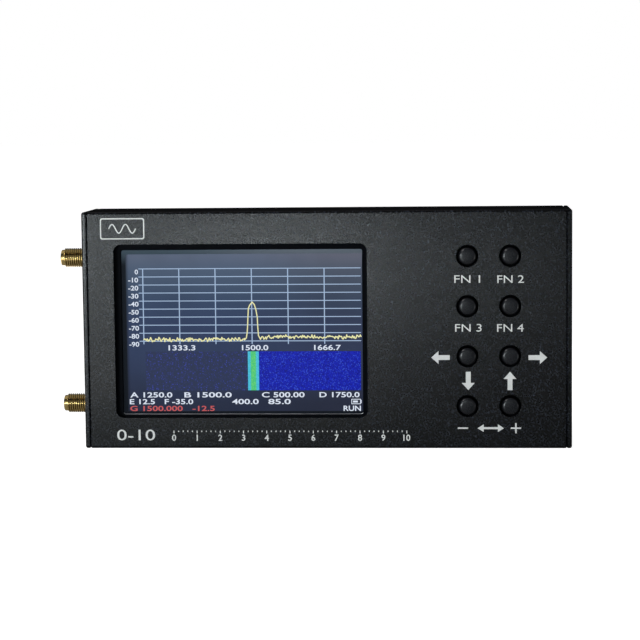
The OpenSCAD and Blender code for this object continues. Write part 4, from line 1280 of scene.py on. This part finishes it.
# Print on the front: places in millimetres, as the middle and the size in X and Z
INK_T = 0.02 * MM
KEY_WORDS = (("FN 1", (46.07, 55.54), (8.4, 2.45)), ("FN 2", (60.1, 55.47), (8.6, 2.45)),
             ("FN 3", (46.4, 39.64), (8.6, 2.5)), ("FN 4", (60.0, 39.59), (8.6, 2.5)))
ARROWS = (((37.32, 29.94), 180), ((68.89, 29.86), 0), ((46.32, 22.25), -90), ((59.87, 22.22), 90))
ARROW_SIZE = (6.0 * MM, 2.35 * MM, 4.2 * MM, 1.6 * MM)
TWO_WAY_AT = (53.6, 6.7)
TWO_WAY_SIZE = (8.6 * MM, 2.0 * MM, 2.5 * MM, 0.7 * MM)
MINUS_AT = (44.54, 6.72)
PLUS_AT = (61.77, 6.69)
SIGN_LEN = 3.4 * MM
SIGN_LINE = 0.5 * MM
BADGE_AT = (-66.45, 72.57)
BADGE_SIZE = (14.6 * MM, 6.93 * MM)
BADGE_LINE = 0.37 * MM
BADGE_R = 0.7 * MM
WAVE_SIZE = (9.2 * MM, 3.2 * MM)
WAVE_POINTS = 61
SCALE_X = (-50.5 * MM, 26.2 * MM)
SCALE_Z = 5.9 * MM
SCALE_STEPS = 10
SCALE_PARTS = 5
SCALE_FIGURE_Z = 3.55
SCALE_FIGURE_H = 2.1 * MM
SCALE_TICK = 0.3 * MM
SCALE_LONG = 0.9 * MM
SCALE_SHORT = 0.45 * MM
SCALE_BOLD = 0.03 * MM
RANGE_WORDS = ("0-10", (-63.1, 4.45), (12.6, 3.6))


def on_front(x, z):
    """A place for ink on the front, from millimetres."""
    return (x * MM, FRONT_Y - INK_T / 2, z * MM)


def ink_bar(bm, x, z):
    """A flat bar of ink between two places along X and along Z."""
    return block(bm, (x[0], FRONT_Y - INK_T, z[0]), (x[1], FRONT_Y, z[1]))


def printed_words(words, centre, size):
    """Words fitted to a width and a height in millimetres."""
    width, height = (length * MM for length in size)
    return stretched_to(lettering(words, height, INK_T), on_front(*centre), (width, height))


def printed_arrow(centre, turn, size=ARROW_SIZE, two_way=False):
    """A flat block arrow along X before it is turned, from its length, head, width and shaft."""
    length, head, width, shaft = size
    right = [(length / 2 - head, shaft / 2), (length / 2 - head, width / 2), (length / 2, 0)]
    left = [(-x, z) for x, z in reversed(right)] if two_way else [(-length / 2, shaft / 2)]
    upper = left + right
    outline = upper + [(x, -z) for x, z in reversed(upper) if z]
    bm = extruded([(x, -INK_T / 2, z) for x, z in outline], (0, INK_T, 0))
    moved(bm, Matrix.Rotation(-math.radians(turn), 4, "Y"))
    return moved(bm, Matrix.Translation(on_front(*centre)))


def printed_signs():
    """Minus and plus under the lowest keys."""
    bm = bmesh.new()
    for x, z in (MINUS_AT, PLUS_AT):
        ink_bar(bm, (x * MM - SIGN_LEN / 2, x * MM + SIGN_LEN / 2),
                (z * MM - SIGN_LINE / 2, z * MM + SIGN_LINE / 2))
    x, z = (place * MM for place in PLUS_AT)
    for side in (-1, 1):
        ends = sorted((z + side * SIGN_LINE / 2, z + side * SIGN_LEN / 2))
        ink_bar(bm, (x - SIGN_LINE / 2, x + SIGN_LINE / 2), ends)
    return bm


def printed_badge():
    """A rounded frame round a plain wave."""
    centre = Vector(on_front(*BADGE_AT))
    half = Vector((BADGE_SIZE[0] / 2, INK_T / 2, BADGE_SIZE[1] / 2))
    line = Vector((BADGE_LINE, -INK_T, BADGE_LINE))
    outer = rounded_bar(centre - half, centre + half, Y, BADGE_R)
    rim = carved(outer, rounded_bar(centre - half + line, centre + half - line, Y, BADGE_R - BADGE_LINE / 2))
    turns = spread(0, 1, WAVE_POINTS)
    points = [((turn - 0.5) * WAVE_SIZE[0], math.sin(2 * TURN * turn) * WAVE_SIZE[1] / 2) for turn in turns]
    return joined(rim, stretched_to(ribbon(points, BADGE_LINE, INK_T), centre, WAVE_SIZE))


def printed_scale():
    """A plain divided scale with figures along the bottom of the front."""
    bm = bmesh.new()
    for number, x in enumerate(spread(*SCALE_X, SCALE_STEPS * SCALE_PARTS + 1)):
        length = SCALE_SHORT if number % SCALE_PARTS else SCALE_LONG
        ink_bar(bm, (x - SCALE_TICK / 2, x + SCALE_TICK / 2), (SCALE_Z - length, SCALE_Z))
    figures = []
    for number, x in enumerate(spread(*SCALE_X, SCALE_STEPS + 1)):
        figure = lettering(f"{number}", SCALE_FIGURE_H, INK_T, SCALE_BOLD)
        figures.append(sized_to(figure, on_front(x / MM, SCALE_FIGURE_Z), SCALE_FIGURE_H))
    return joined(bm, printed_words(*RANGE_WORDS), *figures)


def front_print():
    """The marks beside the keys, the badge and the scale."""
    words = [printed_words(*row) for row in KEY_WORDS]
    arrows = [printed_arrow(centre, turn) for centre, turn in ARROWS]
    arrows.append(printed_arrow(TWO_WAY_AT, 0, TWO_WAY_SIZE, True))
    marks = (
        ("print_key_words", joined(*words)),
        ("print_arrows", joined(*arrows, printed_signs())),
        ("print_badge", printed_badge()),
        ("print_scale", printed_scale()),
    )
    for name, shape in marks:
        piece(name, shape, PRINT_GREY)


def build_case():
    """The two halves, the end plates and their screws."""
    shapes = (
        ("front_case_half", front_case_half(), CASE_BLACK, "case_black", "front_shell"),
        ("rear_case_half", rear_case_half(), CASE_BLACK, "case_black", "rear_shell"),
        ("left_plate", left_plate(), PLATE_BLACK, "plate_black", "left_end_plate"),
        ("right_plate", right_plate(), PLATE_BLACK, "plate_black", "right_end_plate"),
        ("left_screws", plate_screws(-1), SCREW_BLACK, "screw_black", "left_plate_screws"),
        ("right_screws", plate_screws(1), SCREW_BLACK, "screw_black", "right_plate_screws"),
    )
    for name, shape, finish, slot, node in shapes:
        piece(name, shape, finish, replaces=[node])


def build_details():
    """Keys, jacks, charging socket, power lever, status light and display frame."""
    for key in KEYS:
        cap = piece(key + "_cap", key_cap(key), KEY_BLACK, key, [key])
        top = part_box(key)[0].y
        second_finish(cap, KEY_RIM, lambda face: face.center.y > top + KEY_RIM_DOWN)
        # Painted shade: the cap's side wall and flange take the darker, duller copy of the key finish
        second_finish(cap, KEY_SKIRT_SHADE, lambda face: face.center.y > top + KEY_SKIRT_DOWN)
    for jack in JACKS:
        jack_pieces(jack)
    usb_pieces()
    piece("power_lever_ridged", slide_lever(), LEVER_BLACK, "power_lever",
          ["power_switch_lever"])
    piece("status_pipe", light_pipe(), PIPE_CLEAR, replaces=["status_light_pipe"])
    display_bezel()


# Camera fitted to the photograph's view of the front: metres and degrees
CAMERA_AT = (0.0439, -0.703, 0.1111)
CAMERA_AZIMUTH = 3.8
CAMERA_ELEVATION = 5.68
CAMERA_ROLL = -0.58
CAMERA_LENS = 119.68
CAMERA_SENSOR = 36
CAMERA_CLIP = 0.01


def set_camera():
    """A camera at the photograph's place, turned and rolled as it was."""
    azimuth, elevation, roll = map(math.radians, (CAMERA_AZIMUTH, CAMERA_ELEVATION, CAMERA_ROLL))
    back = Vector((math.sin(azimuth) * math.cos(elevation), -math.cos(azimuth) * math.cos(elevation),
                   math.sin(elevation)))
    level = Vector((math.cos(azimuth), math.sin(azimuth), 0))
    right = level * math.cos(roll) + back.cross(level) * math.sin(roll)
    turn = Matrix((right, back.cross(right), back)).transposed().to_4x4()
    data = bpy.data.cameras.new("camera")
    data.lens = CAMERA_LENS
    data.sensor_width = CAMERA_SENSOR
    data.clip_start = CAMERA_CLIP
    data.dof.use_dof = False
    camera = in_scene("camera", data)
    camera.matrix_world = Matrix.Translation(CAMERA_AT) @ turn
    bpy.context.scene.camera = camera


def softbox(name, place, target, size, power, colour=(1, 1, 1)):
    """A soft rectangular light that faces a point."""
    data = bpy.data.lights.new(name, "AREA")
    data.shape = "RECTANGLE"
    data.size, data.size_y = size
    data.energy = power
    data.color = colour
    light = in_scene(name, data)
    light.location = place
    light.rotation_euler = (Vector(target) - Vector(place)).to_track_quat("-Z", "Y").to_euler()
    light.visible_camera = False


# The floor, the room and the even light from above
FLOOR_SIZE = 12.0
ROOM_LIGHT = 0.005
COOL_WHITE = (0.91, 1.0, 1.03)
SKY_STRENGTH = 0.4
SKY_SPREAD = 70
SKY_TILT = (-12, -8, 0)
FLOOR_GLOW = 0.95
MIDDLE = (0, 0, 0.04)

# Soft lights: name, place, point faced, width and height, power in watts, and colour if not white
LIGHTS = (
    ("upper_light", (-0.67, -0.39, 0.96), MIDDLE, (0.4, 0.26), 5.0),
    ("right_light", (0.85, -0.35, 0.05), (0.08, 0, 0.05), (0.4, 0.08), 0.38, COOL_WHITE),
    ("key_light", (-0.475, -0.95, 0.028), (-0.03, 0, 0.04), (0.3, 0.04), 6.2, COOL_WHITE),
    ("front_light", (-0.1, -0.8, 0.007), (-0.1, 0, 0.007), (0.15, 0.012), 0.53, COOL_WHITE),
    ("front_right_light", (0.05, -0.8, 0.007), (0.05, 0, 0.007), (0.15, 0.012), 0.11, COOL_WHITE),
    ("fill_light", (-0.3, -1.0, 0.42), MIDDLE, (1.2, 0.5), 0.6),
    ("upper_right_light", (0.75, -0.75, 0.5), MIDDLE, (0.7, 0.5), 0.7),
    ("low_front_light", (-0.09, -0.16, 0.002), (-0.09, -0.16, 1), (0.18, 0.08), 0.09),
    ("rear_left_light", (-0.75, 0.75, 0.45), MIDDLE, (0.7, 0.5), 0.7),
    ("rear_right_light", (0.75, 0.75, 0.45), MIDDLE, (0.7, 0.5), 0.7),
    ("low_rear_light", (0, 0.25, 0.002), (0, 0.25, 1), (0.3, 0.36), 0.43),
    ("low_left_light", (-0.3, 0, 0.002), (-0.3, 0, 1), (0.3, 0.24), 0.28),
    ("low_right_light", (0.32, 0, 0.002), (0.32, 0, 1), (0.3, 0.2), 0.5),
)


def set_stage():
    """A pale floor, an even top light and soft lights all round, strongest from the left."""
    bm = bmesh.new()
    bmesh.ops.create_grid(bm, x_segments=1, y_segments=1, size=FLOOR_SIZE / 2)
    mesh = mesh_from("floor", bm)
    floor = in_scene("floor", mesh)
    look = new_look("floor_pale")
    cloud = look.noise(3.0, 2.0)
    seen = look.node("LightPath", output="Is Camera Ray")
    look.surface(Base_Color=look.mix(cloud, (0.56, 0.56, 0.56), (0.6, 0.6, 0.6)), Roughness=0.8,
                 Specular_IOR_Level=0.1, Emission_Color=look.mix(seen, (0.0, 0.0, 0.0), (1.0, 1.0, 1.0)),
                 Emission_Strength=FLOOR_GLOW)
    mesh.materials.append(look.owner)
    sun = bpy.data.lights.new("top_light", "SUN")
    sun.energy = SKY_STRENGTH
    sun.angle = math.radians(SKY_SPREAD)
    in_scene("top_light", sun).rotation_euler = [math.radians(tilt) for tilt in SKY_TILT]
    for light in LIGHTS:
        softbox(*light)
    world = bpy.data.worlds.new("room")
    bpy.context.scene.world = world
    room = Look(world)
    seen = room.node("LightPath", output="Is Camera Ray")
    room.feed(room.tree.nodes["Background"].inputs["Color"],
              room.mix(seen, (ROOM_LIGHT,) * 3, (1.0, 1.0, 1.0)))
    bpy.context.scene.view_settings.view_transform = "Standard"


dress_inside()
build_case()
build_details()
lit_picture()
front_print()
set_camera()
set_stage()
